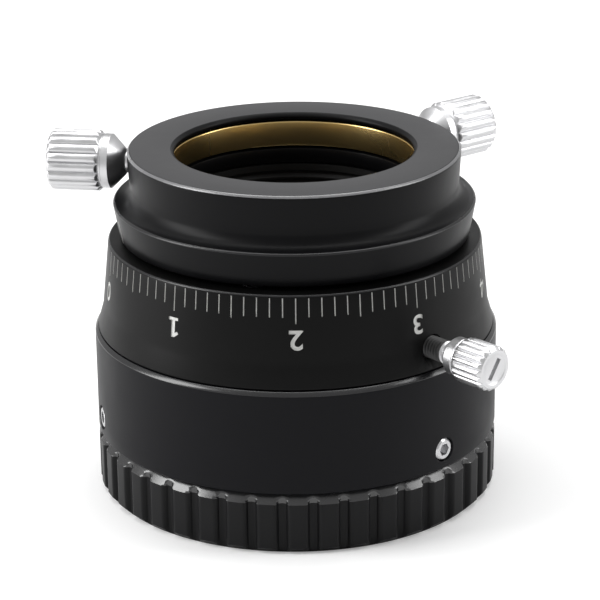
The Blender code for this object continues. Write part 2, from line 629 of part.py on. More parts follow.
def make_drum(nut):
    """Conical drum that the fingers turn, screwed down on the nut's flange."""
    points = [
        (DRUM_TOP_RADIUS - DRUM_EDGE_CHAMFER, DRUM_TOP),
        (DRUM_TOP_RADIUS, DRUM_TOP - DRUM_EDGE_CHAMFER),
        (DRUM_WAIST_RADIUS, DRUM_FOOT + DRUM_SKIRT_HEIGHT),
        (DRUM_SKIRT_RADIUS, DRUM_FOOT + DRUM_EDGE_CHAMFER),
        (DRUM_SKIRT_RADIUS - DRUM_EDGE_CHAMFER, DRUM_FOOT),
        (DRUM_BORE_RADIUS, DRUM_FOOT),
        (DRUM_BORE_RADIUS, DRUM_LIP_FOOT),
        (DRUM_LIP_RADIUS, DRUM_LIP_FOOT),
        (DRUM_LIP_RADIUS, DRUM_TOP),
    ]
    drum = ring("scale_drum", points, BLACK_ANODISED, focus, DRUM_FOOT)

    # The pin in the base runs in a rabbet inside the drum's foot and ends at a lug
    play = math.degrees((STOP_PIN_RADIUS + RUNNING_GAP) / STOP_PIN_CIRCLE)
    inner = DRUM_BORE_RADIUS - 2 * RUNNING_GAP
    outer = STOP_PIN_CIRCLE + STOP_PIN_RADIUS + RUNNING_GAP
    section = [(inner, -RUNNING_GAP), (outer, -RUNNING_GAP), (outer, STOP_PIN_REACH),
               (inner, STOP_PIN_REACH)]
    shape = bmesh.new()
    swept_section(shape, section, STOP_PIN_ANGLE - play, FOCUS_ANGLE + 2 * play, RING_STEPS, 0.0)
    rabbet = add_cutter("stop_rabbet", mesh_from(shape, "stop_rabbet"), (0.0, 0.0, DRUM_FOOT))
    combine(drum, rabbet, "DIFFERENCE")

    circle = (DRUM_LIP_RADIUS + DRUM_BORE_RADIUS) / 2
    sizes = (DRUM_SCREW_RADIUS, DRUM_SCREW_HEAD_RADIUS, DRUM_SCREW_HEAD_HEIGHT,
             DRUM_LIP_THICKNESS + NUT_FLANGE_THICKNESS - SEAT_GAP)
    for index, angle in enumerate(evenly(DRUM_SCREW_COUNT, DRUM_SCREW_FIRST_ANGLE), 1):
        name = f"drum_screw_{index}"
        place = upright(angle, circle, DRUM_TOP)
        piece = turned_piece(name, countersunk(*sizes), BRIGHT_STEEL, focus, place)
        hex_socket(piece, DRUM_SCREW_HEX, DRUM_SCREW_HEX_DEPTH, 0.0)
        turned_hole(drum, name + "_seat", countersunk(*sizes, SCREW_GAP), place)
        turned_hole(nut, name + "_hole", countersunk(*sizes, SCREW_GAP), place)
    return drum


def baffles():
    """Sharp grooves along the bore, which keep stray light down."""
    foot = TUBE_FOOT + BAFFLE_INSET
    length = TUBE_TOP - BAFFLE_INSET - foot
    count = max(1, round(length / BAFFLE_PITCH))
    pitch = length / count
    points = [(BORE_RADIUS, foot)]
    for index in range(count):
        points.append((BORE_RADIUS + BAFFLE_DEPTH, foot + pitch * (index + 0.5)))
        points.append((BORE_RADIUS, foot + pitch * (index + 1)))
    return points


def make_drawtube():
    """Tube with the male thread, and keyways from its foot to just below the thread."""
    points = [(TUBE_RADIUS, TUBE_TOP), (TUBE_RADIUS, TUBE_FOOT),
              (BORE_RADIUS, TUBE_FOOT), *baffles(), (BORE_RADIUS, TUBE_TOP)]
    tube = ring("drawtube", points, BLACK_ANODISED, draw, TUBE_FOOT, THREAD_STEPS)
    half_root = THREAD_ROOT_WIDTH / 2
    bars = thread_bars("tube_thread", TUBE_RADIUS - RUNNING_GAP, THREAD_RADIUS, 0.0,
                       TUBE_THREAD_FOOT + half_root,
                       TUBE_THREAD_FOOT + THREAD_LENGTH - half_root)
    combine(tube, add_cutter("tube_thread", bars), "UNION")

    keyway_top = GUIDE_TOP + 2 * RUNNING_GAP
    height = keyway_top - TUBE_FOOT + KEYWAY_OVERRUN
    size = (2 * KEYWAY_DEPTH, KEY_WIDTH + 2 * RUNNING_GAP, height)
    keyways = radial_blocks("keyways", size, (TUBE_RADIUS, keyway_top - height / 2),
                            evenly(KEY_COUNT, KEY_FIRST_ANGLE))
    combine(tube, add_cutter("keyways", keyways), "DIFFERENCE")


def cove():
    """Hollow curve from the holder's side out to the flange's edge."""
    top = HEAD_FOOT + FLANGE_HEIGHT
    width = FLANGE_RADIUS - FLANGE_EDGE_CHAMFER - HEAD_WAIST_RADIUS
    points = []
    for index in range(COVE_POINTS + 1):
        turn = math.pi / 2 * index / COVE_POINTS
        radius = HEAD_WAIST_RADIUS + width * (1 - math.cos(turn))
        points.append((radius, top + COVE_HEIGHT * (1 - math.sin(turn))))
    return points


def make_head():
    """Eyepiece holder, with the groove of the compression ring and the index flange."""
    groove_radius = BORE_RADIUS + CLAMP_RING_RECESS + CLAMP_RING_THICKNESS + SEAT_GAP
    groove_half = CLAMP_RING_HEIGHT / 2 + SEAT_GAP
    socket_radius = TUBE_RADIUS + SEAT_GAP
    socket_roof = HEAD_FOOT + HEAD_SOCKET_DEPTH
    points = [
        (HEAD_RADIUS - HEAD_EDGE_CHAMFER, HEAD_TOP),
        (HEAD_RADIUS, HEAD_TOP - HEAD_EDGE_CHAMFER),
        *cove(),
        (FLANGE_RADIUS, HEAD_FOOT + FLANGE_HEIGHT - FLANGE_EDGE_CHAMFER),
        (FLANGE_FOOT_RADIUS, HEAD_FOOT),
        (socket_radius, HEAD_FOOT),
        (socket_radius, socket_roof),
        (BORE_RADIUS, socket_roof),
        (BORE_RADIUS, CLAMP_HEIGHT - groove_half),
        (groove_radius, CLAMP_HEIGHT - groove_half),
        (groove_radius, CLAMP_HEIGHT + groove_half),
        (BORE_RADIUS, CLAMP_HEIGHT + groove_half),
        (BORE_RADIUS, HEAD_TOP - HEAD_MOUTH_CHAMFER),
        (BORE_RADIUS + HEAD_MOUTH_CHAMFER, HEAD_TOP),
    ]
    head = ring("clamp_head", points, BLACK_ANODISED, draw, HEAD_FOOT)

    length = FLANGE_FOOT_RADIUS - socket_radius
    place = outward(HEAD_SCREW_ANGLE, socket_radius, HEAD_FOOT + HEAD_SCREW_RISE)
    screw = turned_piece("head_set_screw", rod(HEAD_SCREW_RADIUS, 0.0, length), BRIGHT_STEEL, draw,
                         place)
    hex_socket(screw, HEAD_SCREW_HEX, HEAD_SCREW_HEX_DEPTH, length)
    hole = rod(HEAD_SCREW_RADIUS + SCREW_GAP, -SEAT_GAP, 2 * length)
    turned_hole(head, "head_set_screw_hole", hole, place)
    make_clamp_ring()
    return head, groove_radius


def make_clamp_ring():
    """Split brass ring that the thumbscrews close on the eyepiece's barrel."""
    inner = BORE_RADIUS + CLAMP_RING_RECESS
    outer = inner + CLAMP_RING_THICKNESS
    section = [(inner, 0.0), (outer, 0.0), (outer, CLAMP_RING_HEIGHT), (inner, CLAMP_RING_HEIGHT)]
    shape = bmesh.new()
    swept_section(shape, section, CLAMP_RING_SLIT_ANGLE + CLAMP_RING_SLIT / 2,
                  360.0 - CLAMP_RING_SLIT, RING_STEPS, 0.0)
    add_piece("compression_ring", mesh_from(shape, "compression_ring"), BRASS, draw,
              (0.0, 0.0, CLAMP_HEIGHT - CLAMP_RING_HEIGHT / 2))


def knurled_mesh(name, shank_length, cone_length, shoulder_length, knob_radius, knob_length):
    """Thumbscrew from its tip at local zero: shank, cone, smooth shoulder, knurled knob."""
    cone_end = shank_length + cone_length
    knob = cone_end + shoulder_length
    end = knob + knob_length
    root = knob_radius - KNURL_DEPTH
    shoulder = root - THUMB_SHOULDER_STEP
    points = [(0.0, 0.0), (THUMB_SHANK_RADIUS, 0.0), (THUMB_SHANK_RADIUS, shank_length),
              (shoulder, cone_end), (shoulder, knob), (root, knob),
              (knob_radius, knob + THUMB_CHAMFER), (knob_radius, end - THUMB_CHAMFER),
              (root - THUMB_CHAMFER, end), (0.0, end)]
    shape = bmesh.new()
    corners = [shape.verts.new((radius, 0.0, height)) for radius, height in points]
    edges = [shape.edges.new(pair) for pair in zip(corners, corners[1:])]
    steps = 2 * KNURL_RIDGES
    bmesh.ops.spin(shape, geom=corners + edges, cent=(0.0, 0.0, 0.0), axis=(0.0, 0.0, 1.0),
                   angle=2 * math.pi, steps=steps, use_merge=True)
    bmesh.ops.remove_doubles(shape, verts=shape.verts, dist=0.00001)
    for corner in shape.verts:
        radius = math.hypot(corner.co.x, corner.co.y)
        column = round(math.atan2(corner.co.y, corner.co.x) / (2 * math.pi) * steps)
        if radius > root + KNURL_DEPTH / 2 and column % 2:
            corner.co.x *= root / radius
            corner.co.y *= root / radius
    return mesh_from(shape, name)


def end_slot(screw, face):
    """Screwdriver slot across the end face of a knob."""
    shape = bmesh.new()
    reach = 0.5 * MM
    turn = Matrix.Rotation(math.radians(LOCK_SLOT_ANGLE), 4, "Z")
    middle = Matrix.Translation((0.0, 0.0, face + (reach - LOCK_SLOT_DEPTH) / 2))
    size = Matrix.Diagonal((LOCK_SLOT_LENGTH, LOCK_SLOT_WIDTH, LOCK_SLOT_DEPTH + reach, 1.0))
    bmesh.ops.create_cube(shape, size=1.0, matrix=turn @ middle @ size)
    cutter = add_cutter(screw.name + "_slot", mesh_from(shape, screw.name + "_slot"))
    cutter.parent = screw
    combine(screw, cutter, "DIFFERENCE")


def make_thumbscrew(target, kind, number, angle, height, seat, wall, standoff, sizes, parent):
    """Thumbscrew in a radial hole, with the soft tip that it pushes inwards."""
    suffix = f"_{number}" if number else ""
    location, rotation = outward(angle, seat, height)
    slide = carrier(f"{kind}_slide{suffix}", parent, location)
    slide.rotation_euler = rotation
    turned_piece(f"{kind}_tip{suffix}", rod(TIP_RADIUS, 0.0, TIP_LENGTH), BRASS, slide,
                 ((0.0, 0.0, 0.0), (0.0, 0.0, 0.0)))
    start = TIP_LENGTH + SCREW_GAP
    shank_length = wall + standoff - seat - start
    mesh = knurled_mesh(f"{kind}_screw{suffix}", shank_length, *sizes)
    screw = add_piece(f"{kind}_screw{suffix}", mesh, BRIGHT_STEEL, slide, (0.0, 0.0, start))
    hole = rod(THUMB_SHANK_RADIUS + SCREW_GAP, -2 * SEAT_GAP, start + shank_length)
    turned_hole(target, f"{kind}_hole{suffix}", hole, (location, rotation))
    return screw, shank_length


make_adapter_ring()
base_housing = make_base()
make_guide_ring(base_housing)
helicoid_nut = make_nut()
scale_drum = make_drum(helicoid_nut)
make_drawtube()
clamp_head, clamp_seat = make_head()

clamp_sizes = (CLAMP_CONE_LENGTH, CLAMP_SHOULDER_LENGTH, CLAMP_KNOB_RADIUS, CLAMP_KNOB_LENGTH)
for clamp_number, clamp_angle in enumerate(CLAMP_ANGLES, 1):
    make_thumbscrew(clamp_head, "clamp", clamp_number, clamp_angle, CLAMP_HEIGHT,
                    clamp_seat, HEAD_RADIUS, CLAMP_STANDOFF, clamp_sizes, draw)

drum_slope = (DRUM_WAIST_RADIUS - DRUM_TOP_RADIUS) / (DRUM_HEIGHT - DRUM_SKIRT_HEIGHT)
drum_radius_at_lock = DRUM_TOP_RADIUS + (DRUM_TOP - LOCK_HEIGHT) * drum_slope
lock_sizes = (LOCK_CONE_LENGTH, LOCK_SHOULDER_LENGTH, LOCK_KNOB_RADIUS, LOCK_KNOB_LENGTH)
lock_screw, lock_shank = make_thumbscrew(scale_drum, "lock", 0, LOCK_ANGLE, LOCK_HEIGHT,
                                         NECK_RADIUS + SEAT_GAP, drum_radius_at_lock,
                                         LOCK_STANDOFF, lock_sizes, focus)
end_slot(lock_screw, lock_shank + LOCK_CONE_LENGTH + LOCK_SHOULDER_LENGTH + LOCK_KNOB_LENGTH)
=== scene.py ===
import math

import bmesh
import bpy
from mathutils import Matrix, Vector


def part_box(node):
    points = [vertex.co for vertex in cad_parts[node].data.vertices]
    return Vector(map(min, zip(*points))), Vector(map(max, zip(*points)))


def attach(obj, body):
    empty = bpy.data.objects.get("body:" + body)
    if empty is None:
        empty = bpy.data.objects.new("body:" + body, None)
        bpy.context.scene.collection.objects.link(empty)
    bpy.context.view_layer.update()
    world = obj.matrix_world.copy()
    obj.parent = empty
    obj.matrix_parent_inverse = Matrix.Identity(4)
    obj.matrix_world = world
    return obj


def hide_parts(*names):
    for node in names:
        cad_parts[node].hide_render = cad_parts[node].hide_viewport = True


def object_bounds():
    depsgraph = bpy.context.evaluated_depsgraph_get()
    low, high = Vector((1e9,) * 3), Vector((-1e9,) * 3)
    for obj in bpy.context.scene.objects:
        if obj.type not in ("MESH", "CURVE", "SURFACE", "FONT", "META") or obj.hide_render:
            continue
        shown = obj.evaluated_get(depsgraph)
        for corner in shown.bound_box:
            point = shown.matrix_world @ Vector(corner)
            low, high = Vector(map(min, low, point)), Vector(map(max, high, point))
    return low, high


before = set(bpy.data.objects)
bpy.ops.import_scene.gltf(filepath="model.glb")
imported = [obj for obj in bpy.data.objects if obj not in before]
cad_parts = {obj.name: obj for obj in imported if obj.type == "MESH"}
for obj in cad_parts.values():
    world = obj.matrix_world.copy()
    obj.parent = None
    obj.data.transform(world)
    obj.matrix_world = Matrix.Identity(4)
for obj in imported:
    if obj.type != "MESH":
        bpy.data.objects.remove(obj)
cad_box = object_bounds()

MM = 0.001

# Photographer's table: a long lens looks down at the focuser from its front, about
# twenty degrees above level, with a slight tilt of the horizon. The floor is pale and
# runs out of the picture; two tall soft boxes stand left and right, one hangs above.
CAMERA_PLACE = Vector((0.0, -311.1 * MM, 139.4 * MM))
AIM_POINT = Vector((0.6 * MM, 0.0, 25.0 * MM))
CAMERA_LENS = 146.0
HORIZON_TILT = math.radians(0.6)
FLOOR_SIZE = 3.0
FLOOR_COLOUR = (0.86, 0.86, 0.86, 1.0)
FLOOR_GAP = 0.02 * MM       # between the floor and the focuser's lower face
FLOOR_GLOW = 0.22           # seen by the camera alone, so that the floor fades to white
ROOM_LIGHT = 0.24
ROOM_IN_REFLECTIONS = 0.55

camera = bpy.data.objects.new("camera", bpy.data.cameras.new("camera"))
camera.data.lens = CAMERA_LENS
camera.data.clip_start = 0.01
look = (AIM_POINT - CAMERA_PLACE).to_track_quat("-Z", "Y").to_matrix().to_4x4()
camera.matrix_world = Matrix.Translation(CAMERA_PLACE) @ look @ Matrix.Rotation(-HORIZON_TILT, 4, "Z")
bpy.context.scene.collection.objects.link(camera)
bpy.context.scene.camera = camera
bpy.context.scene.view_settings.view_transform = "Standard"


def soft_box(name, place, target, width, height, watts):
    """Rectangular studio lamp that faces a point of the object."""
    lamp = bpy.data.lights.new(name, "AREA")
    lamp.shape = "RECTANGLE"
    lamp.size = width
    lamp.size_y = height
    lamp.energy = watts
    holder = bpy.data.objects.new(name, lamp)
    turn = (Vector(target) - Vector(place)).to_track_quat("-Z", "Y").to_matrix().to_4x4()
    holder.matrix_world = Matrix.Translation(place) @ turn
    bpy.context.scene.collection.objects.link(holder)


OBJECT_MIDDLE = (0.0, 0.0, 0.025)
soft_box("left_soft_box", (-0.62, -0.10, 0.30), OBJECT_MIDDLE, 0.30, 0.80, 5.0)
soft_box("right_soft_box", (0.66, -0.02, 0.32), OBJECT_MIDDLE, 0.22, 0.80, 2.4)
soft_box("top_soft_box", (0.0, 0.22, 0.85), OBJECT_MIDDLE, 0.80, 0.60, 6.0)

world = bpy.data.worlds.new("studio_room")
bpy.context.scene.world = world
world.use_nodes = True
room = world.node_tree
sky = room.nodes["Background"]
sky.inputs["Color"].default_value = (1.0, 1.0, 1.0, 1.0)
ray = room.nodes.new("ShaderNodeLightPath")
mirrored = room.nodes.new("ShaderNodeMapRange")
mirrored.inputs["To Min"].default_value = ROOM_LIGHT
mirrored.inputs["To Max"].default_value = ROOM_IN_REFLECTIONS
room.links.new(ray.outputs["Is Glossy Ray"], mirrored.inputs["Value"])
strength = room.nodes.new("ShaderNodeMath")
strength.operation = "MAXIMUM"
room.links.new(ray.outputs["Is Camera Ray"], strength.inputs[0])
room.links.new(mirrored.outputs["Result"], strength.inputs[1])
room.links.new(strength.outputs[0], sky.inputs["Strength"])

floor_form = bmesh.new()
bmesh.ops.create_grid(floor_form, x_segments=2, y_segments=2, size=FLOOR_SIZE / 2)
floor_mesh = bpy.data.meshes.new("floor")
floor_form.to_mesh(floor_mesh)
floor_form.free()
floor = bpy.data.objects.new("floor", floor_mesh)
floor.location.z = cad_box[0][2] - FLOOR_GAP
bpy.context.scene.collection.objects.link(floor)
floor_paint = bpy.data.materials.new("floor_paint")
floor_paint.use_nodes = True
paint_nodes = floor_paint.node_tree
board = paint_nodes.nodes["Principled BSDF"]
board.inputs["Base Color"].default_value = FLOOR_COLOUR
board.inputs["Roughness"].default_value = 0.9
board.inputs["Specular IOR Level"].default_value = 0.1
board.inputs["Emission Color"].default_value = (1.0, 1.0, 1.0, 1.0)
floor_ray = paint_nodes.nodes.new("ShaderNodeLightPath")
lift = paint_nodes.nodes.new("ShaderNodeMath")
lift.operation = "MULTIPLY"
lift.inputs[1].default_value = FLOOR_GLOW
paint_nodes.links.new(floor_ray.outputs["Is Camera Ray"], lift.inputs[0])
paint_nodes.links.new(lift.outputs[0], board.inputs["Emission Strength"])
floor_mesh.materials.append(floor_paint)


# Adapter ring: black anodised aluminium, turned from bar; a lighter, shinier copy of the black
# paints a highlight on its bevel above. Forty-two grooves are milled in its rim for grip, it has a
# T2 thread below, and the base turns on its spigot.
ADAPTER_RADIUS = 27.3 * MM
ADAPTER_TOP = 8.1 * MM
ADAPTER_BORE = 19.0 * MM
RIBS = 42
RIB_COLUMNS = 16
RIB_DEPTH = 0.7 * MM
RIB_HALF_GROOVE = 0.65 * MM
RIB_WALL = 0.28 * MM
ADAPTER_CHAMFER_WIDTH = 1.0 * MM
ADAPTER_CHAMFER_DEPTH = 1.15 * MM
ADAPTER_FOOT_CHAMFER = 0.8 * MM
T2_CREST = 20.6 * MM
T2_ROOT = 21.05 * MM
T2_DEPTH = 6.5 * MM
T2_PITCH = 0.75 * MM
T2_CHAMFER = 0.5 * MM
T2_UNDERCUT = 0.4 * MM
SPIGOT_RADIUS = 24.7 * MM
SPIGOT_BORE = 22.0 * MM
SPIGOT_TOP = 14.2 * MM
V_GROOVE_HEIGHT = 11.0 * MM
V_GROOVE_DEPTH = 1.0 * MM
V_GROOVE_HALF_MOUTH = 1.3 * MM
V_GROOVE_HALF_ROOT = 0.3 * MM
RING_STEPS = 256
EDGE_RADIUS = 0.10 * MM     # of turned edges that look sharp
WELD = 0.001 * MM           # vertices nearer than this are one


def spun(points, steps=RING_STEPS, closed=True):
    """Profile of (radius, height) points spun once round the optical axis."""
    form = bmesh.new()
    corners = [form.verts.new((radius, 0.0, height)) for radius, height in points]
    edges = [form.edges.new(pair) for pair in zip(corners, corners[1:])]
    if closed:
        edges.append(form.edges.new((corners[-1], corners[0])))
    bmesh.ops.spin(form, geom=corners + edges, cent=(0.0, 0.0, 0.0), axis=(0.0, 0.0, 1.0),
                   angle=math.tau, steps=steps, use_merge=True)
    bmesh.ops.remove_doubles(form, verts=form.verts, dist=WELD)
    bmesh.ops.recalc_face_normals(form, faces=form.faces)
    return form


def thread_teeth(crest, root, start, end, pitch):
    """Zigzag of a fine thread's cut section, from one height to another."""
    teeth = max(1, round(abs(end - start) / pitch))
    step = (end - start) / teeth
    points = []
    for tooth in range(teeth):
        points.append((crest, start + step * (tooth + 0.10)))
        points.append((root, start + step * (tooth + 0.45)))
        points.append((root, start + step * (tooth + 0.60)))
        points.append((crest, start + step * (tooth + 0.95)))
    return points


def line(start, end, pieces):
    """Points evenly along a straight stretch of a profile, without its end."""
    return [tuple(a + (b - a) * index / pieces for a, b in zip(start, end)) for index in range(pieces)]


def ease_edges(form, size, sharpest=math.radians(25.0), segments=2):
    """Tiny radius on every turned or milled edge."""
    sharp = [edge for edge in form.edges if edge.is_manifold and edge.calc_face_angle() > sharpest]
    bmesh.ops.bevel(form, geom=sharp, offset=size, offset_type="OFFSET", segments=segments,
                    profile=0.5, affect="EDGES", clamp_overlap=True)


def made(form, name, *materials, sharp=32.0):
    """Turn a bmesh into a finished object at the origin, smooth with crisp edges."""
    mesh = bpy.data.meshes.new(name)
    form.to_mesh(mesh)
    form.free()
    for material in materials:
        mesh.materials.append(material)
    mesh.shade_smooth()
    mesh.set_sharp_from_angle(angle=math.radians(sharp))
    piece = bpy.data.objects.new(name, mesh)
    bpy.context.scene.collection.objects.link(piece)
    return piece


def value_group(name, inputs, outputs):
    """Empty shader group with named value or vector sockets."""
    group = bpy.data.node_groups.new(name, "ShaderNodeTree")
    for socket, kind, default in inputs:
        made_socket = group.interface.new_socket(socket, in_out="INPUT", socket_type=kind)
        if default is not None:
            made_socket.default_value = default
    for socket, kind in outputs:
        group.interface.new_socket(socket, in_out="OUTPUT", socket_type=kind)
    return group, group.nodes.new("NodeGroupInput"), group.nodes.new("NodeGroupOutput")


def math_node(tree, operation, first, second=None):
    """Sum, product or other operation on numbers or sockets."""
    node = tree.nodes.new("ShaderNodeMath")
    node.operation = operation
    for index, value in enumerate((first, second)):
        if value is None:
            continue
        if isinstance(value, (int, float)):
            node.inputs[index].default_value = value
        else:
            tree.links.new(value, node.inputs[index])
    return node.outputs[0]


def noise_node(tree, vector, scale, detail=2.0, dimensions="3D"):
    """Smooth noise from 0 to 1; the scale counts its features in a metre."""
    node = tree.nodes.new("ShaderNodeTexNoise")
    node.noise_dimensions = dimensions
    node.inputs["Scale"].default_value = scale
    node.inputs["Detail"].default_value = detail
    tree.links.new(vector, node.inputs["W" if dimensions == "1D" else "Vector"])
    return node.outputs["Fac"]


# Features in a metre: tool marks on large and on small parts, blasted grain, change of tone
LATHE_RINGS = 9000.0
SMALL_LATHE_RINGS = 12000.0
BLAST_GRAINS = 9000.0
TONE_CLOUDS = 130.0

# The fine rings that a lathe tool leaves, read from the distance along the turned face
turning_marks, marks_in, marks_out = value_group(
    "turning_marks",
    [("Distance", "NodeSocketFloat", 0.0), ("Rings per metre", "NodeSocketFloat", LATHE_RINGS)],
    [("Marks", "NodeSocketFloat")])
ring_count = math_node(turning_marks, "MULTIPLY", marks_in.outputs["Distance"],
                       marks_in.outputs["Rings per metre"])
ring_noise = noise_node(turning_marks, ring_count, 1.0, 3.0, "1D")
turning_marks.links.new(ring_noise, marks_out.inputs["Marks"])

# The blasted grain under the anodising, and the slow change of tone over a whole face
anodised_grain, grain_in, grain_out = value_group(
    "anodised_grain", [("Vector", "NodeSocketVector", None)],
    [("Grain", "NodeSocketFloat"), ("Cloud", "NodeSocketFloat")])
anodised_grain.links.new(noise_node(anodised_grain, grain_in.outputs["Vector"], BLAST_GRAINS, 3.0),
                         grain_out.inputs["Grain"])
anodised_grain.links.new(noise_node(anodised_grain, grain_in.outputs["Vector"], TONE_CLOUDS, 3.0),
                         grain_out.inputs["Cloud"])


def group_node(tree, group):
    """Use of a shader group in a material."""
    node = tree.nodes.new("ShaderNodeGroup")
    node.node_tree = group
    return node


def turned_distance(tree, position):
    """Distance from the axis plus height, which runs along any turned side or face."""
    parts = tree.nodes.new("ShaderNodeSeparateXYZ")
    tree.links.new(position, parts.inputs[0])
    across = math_node(tree, "MULTIPLY", parts.outputs["X"], parts.outputs["X"])
    along = math_node(tree, "MULTIPLY", parts.outputs["Y"], parts.outputs["Y"])
    radius = math_node(tree, "SQRT", math_node(tree, "ADD", across, along))
    return math_node(tree, "ADD", radius, parts.outputs["Z"])


def ramp(tree, value, dark, light):
    """Colour between two tones by a value from 0 to 1."""
    node = tree.nodes.new("ShaderNodeMix")
    node.data_type = "RGBA"
    node.inputs["A"].default_value = (*dark, 1.0)
    node.inputs["B"].default_value = (*light, 1.0)
    tree.links.new(value, node.inputs["Factor"])
    return node.outputs["Result"]


def spread(tree, value, low, high):
    """Noise stretched to run between two values."""
    node = tree.nodes.new("ShaderNodeMapRange")
    node.inputs["From Min"].default_value = 0.3
    node.inputs["From Max"].default_value = 0.7
    node.inputs["To Min"].default_value = low
    node.inputs["To Max"].default_value = high
    tree.links.new(value, node.inputs["Value"])
    return node.outputs["Result"]


def relief(tree, shader, height, depth):
    """Bump of a real depth in metres."""
    bump = tree.nodes.new("ShaderNodeBump")
    bump.inputs["Distance"].default_value = depth
    tree.links.new(height, bump.inputs["Height"])
    tree.links.new(bump.outputs["Normal"], shader.inputs["Normal"])


ANODISED_RELIEF = 0.002 * MM


def new_material(name):
    """Empty material, with its node tree, its shader and the place on the piece."""
    material = bpy.data.materials.new(name)
    material.use_nodes = True
    tree = material.node_tree
    place = tree.nodes.new("ShaderNodeTexCoord").outputs["Object"]
    return material, tree, tree.nodes["Principled BSDF"], place


def black_anodised(name, tone, roughness, marks_share, shine=0.22):
    """Black anodised aluminium; the share is how far tool marks show over the grain."""
    material, tree, shader, place = new_material(name)
    shader.inputs["Specular IOR Level"].default_value = shine
    grain = group_node(tree, anodised_grain)
    tree.links.new(place, grain.inputs["Vector"])
    marks = group_node(tree, turning_marks)
    tree.links.new(turned_distance(tree, place), marks.inputs["Distance"])
    dark = tuple(channel * 0.8 for channel in tone)
    light = tuple(channel * 1.25 for channel in tone)
    tree.links.new(ramp(tree, grain.outputs["Cloud"], dark, light), shader.inputs["Base Color"])
    worn = spread(tree, grain.outputs["Cloud"], roughness - 0.04, roughness + 0.05)
    tree.links.new(worn, shader.inputs["Roughness"])
    cut = math_node(tree, "MULTIPLY", marks.outputs["Marks"], marks_share)
    blast = math_node(tree, "MULTIPLY", grain.outputs["Grain"], 1.0 - marks_share)
    relief(tree, shader, math_node(tree, "ADD", cut, blast), ANODISED_RELIEF)
    return material


# Places of the materials in a piece that has more than one; its main one has place 0
# Places 1, 3 and 4 hold painted highlight and painted light copies of the black; a thumbscrew's place 1
# holds its painted shade.
EDGE, WHITE, FACE, RIM = 1, 2, 3, 4
THREAD = 1


def band_paint(form, low, high, inner, paint):
    """Give the faces of a turned piece between two heights, outside a radius, a material."""
    for face in form.faces:
        middle = face.calc_center_median()
        if low < middle.z < high and math.hypot(middle.x, middle.y) > inner:
            face.material_index = paint


satin_black = black_anodised("satin_black", (0.008, 0.008, 0.0085), 0.36, 0.35, 0.16)
# The next three are lighter, shinier copies of the black anodising, which paint highlights on chamfers
# and edges.
edge_highlight_black = black_anodised("edge_highlight_black", (0.010, 0.010, 0.011), 0.21, 0.5, 0.68)
bright_edge_highlight = black_anodised("bright_edge_highlight", (0.014, 0.014, 0.015), 0.24, 0.5, 1.0)
dim_edge_highlight = black_anodised("dim_edge_highlight", (0.010, 0.010, 0.011), 0.28, 0.5, 0.42)


def rib_radius(angle):
    """Radius of the milled rim at an angle: flat-topped ribs between round-edged grooves."""
    pitch = math.tau / RIBS
    offset = abs((angle + pitch / 2) % pitch - pitch / 2) * ADAPTER_RADIUS
    across = min(1.0, max(0.0, (offset - RIB_HALF_GROOVE + RIB_WALL) / (2 * RIB_WALL)))
    return ADAPTER_RADIUS - RIB_DEPTH * (1 - across * across * (3 - 2 * across))


def trim_rim(form, limit):
    """Pull each vertex in to the radius that a function of its angle allows."""
    for corner in form.verts:
        radius = math.hypot(corner.co.x, corner.co.y)
        allowed = limit(math.atan2(corner.co.y, corner.co.x))
        if radius > allowed:
            corner.co.x *= allowed / radius
            corner.co.y *= allowed / radius


chamfer_foot = (ADAPTER_RADIUS, ADAPTER_TOP - ADAPTER_CHAMFER_DEPTH)
grip_foot = (ADAPTER_RADIUS, ADAPTER_FOOT_CHAMFER)
adapter_foot = (ADAPTER_RADIUS - ADAPTER_FOOT_CHAMFER, 0.0)
adapter_profile = [
    *line((ADAPTER_RADIUS - ADAPTER_CHAMFER_WIDTH, ADAPTER_TOP), chamfer_foot, 8),
    *line(chamfer_foot, grip_foot, 4),
    *line(grip_foot, adapter_foot, 6),
    adapter_foot,
    (T2_CREST + T2_CHAMFER, 0.0),
    *thread_teeth(T2_CREST, T2_ROOT, T2_CHAMFER, T2_DEPTH - T2_UNDERCUT, T2_PITCH),
    (T2_CREST, T2_DEPTH),
    (ADAPTER_BORE, T2_DEPTH),
    (ADAPTER_BORE, ADAPTER_TOP),
    (SPIGOT_BORE, ADAPTER_TOP),
    (SPIGOT_BORE, SPIGOT_TOP),
    (SPIGOT_RADIUS, SPIGOT_TOP),
    (SPIGOT_RADIUS, V_GROOVE_HEIGHT + V_GROOVE_HALF_MOUTH),
    (SPIGOT_RADIUS - V_GROOVE_DEPTH, V_GROOVE_HEIGHT + V_GROOVE_HALF_ROOT),
    (SPIGOT_RADIUS - V_GROOVE_DEPTH, V_GROOVE_HEIGHT - V_GROOVE_HALF_ROOT),
    (SPIGOT_RADIUS, V_GROOVE_HEIGHT - V_GROOVE_HALF_MOUTH),
    (SPIGOT_RADIUS, ADAPTER_TOP),
]
adapter_form = spun(adapter_profile, RIBS * RIB_COLUMNS)
trim_rim(adapter_form, rib_radius)
# The adapter's bevel takes the painted highlight copy of the black.
band_paint(adapter_form, chamfer_foot[1], ADAPTER_TOP - 0.01 * MM, SPIGOT_RADIUS + 0.8 * MM, EDGE)
adapter = made(adapter_form, "ribbed_adapter", satin_black, bright_edge_highlight)
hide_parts("adapter_ring")
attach(adapter, "adapter")
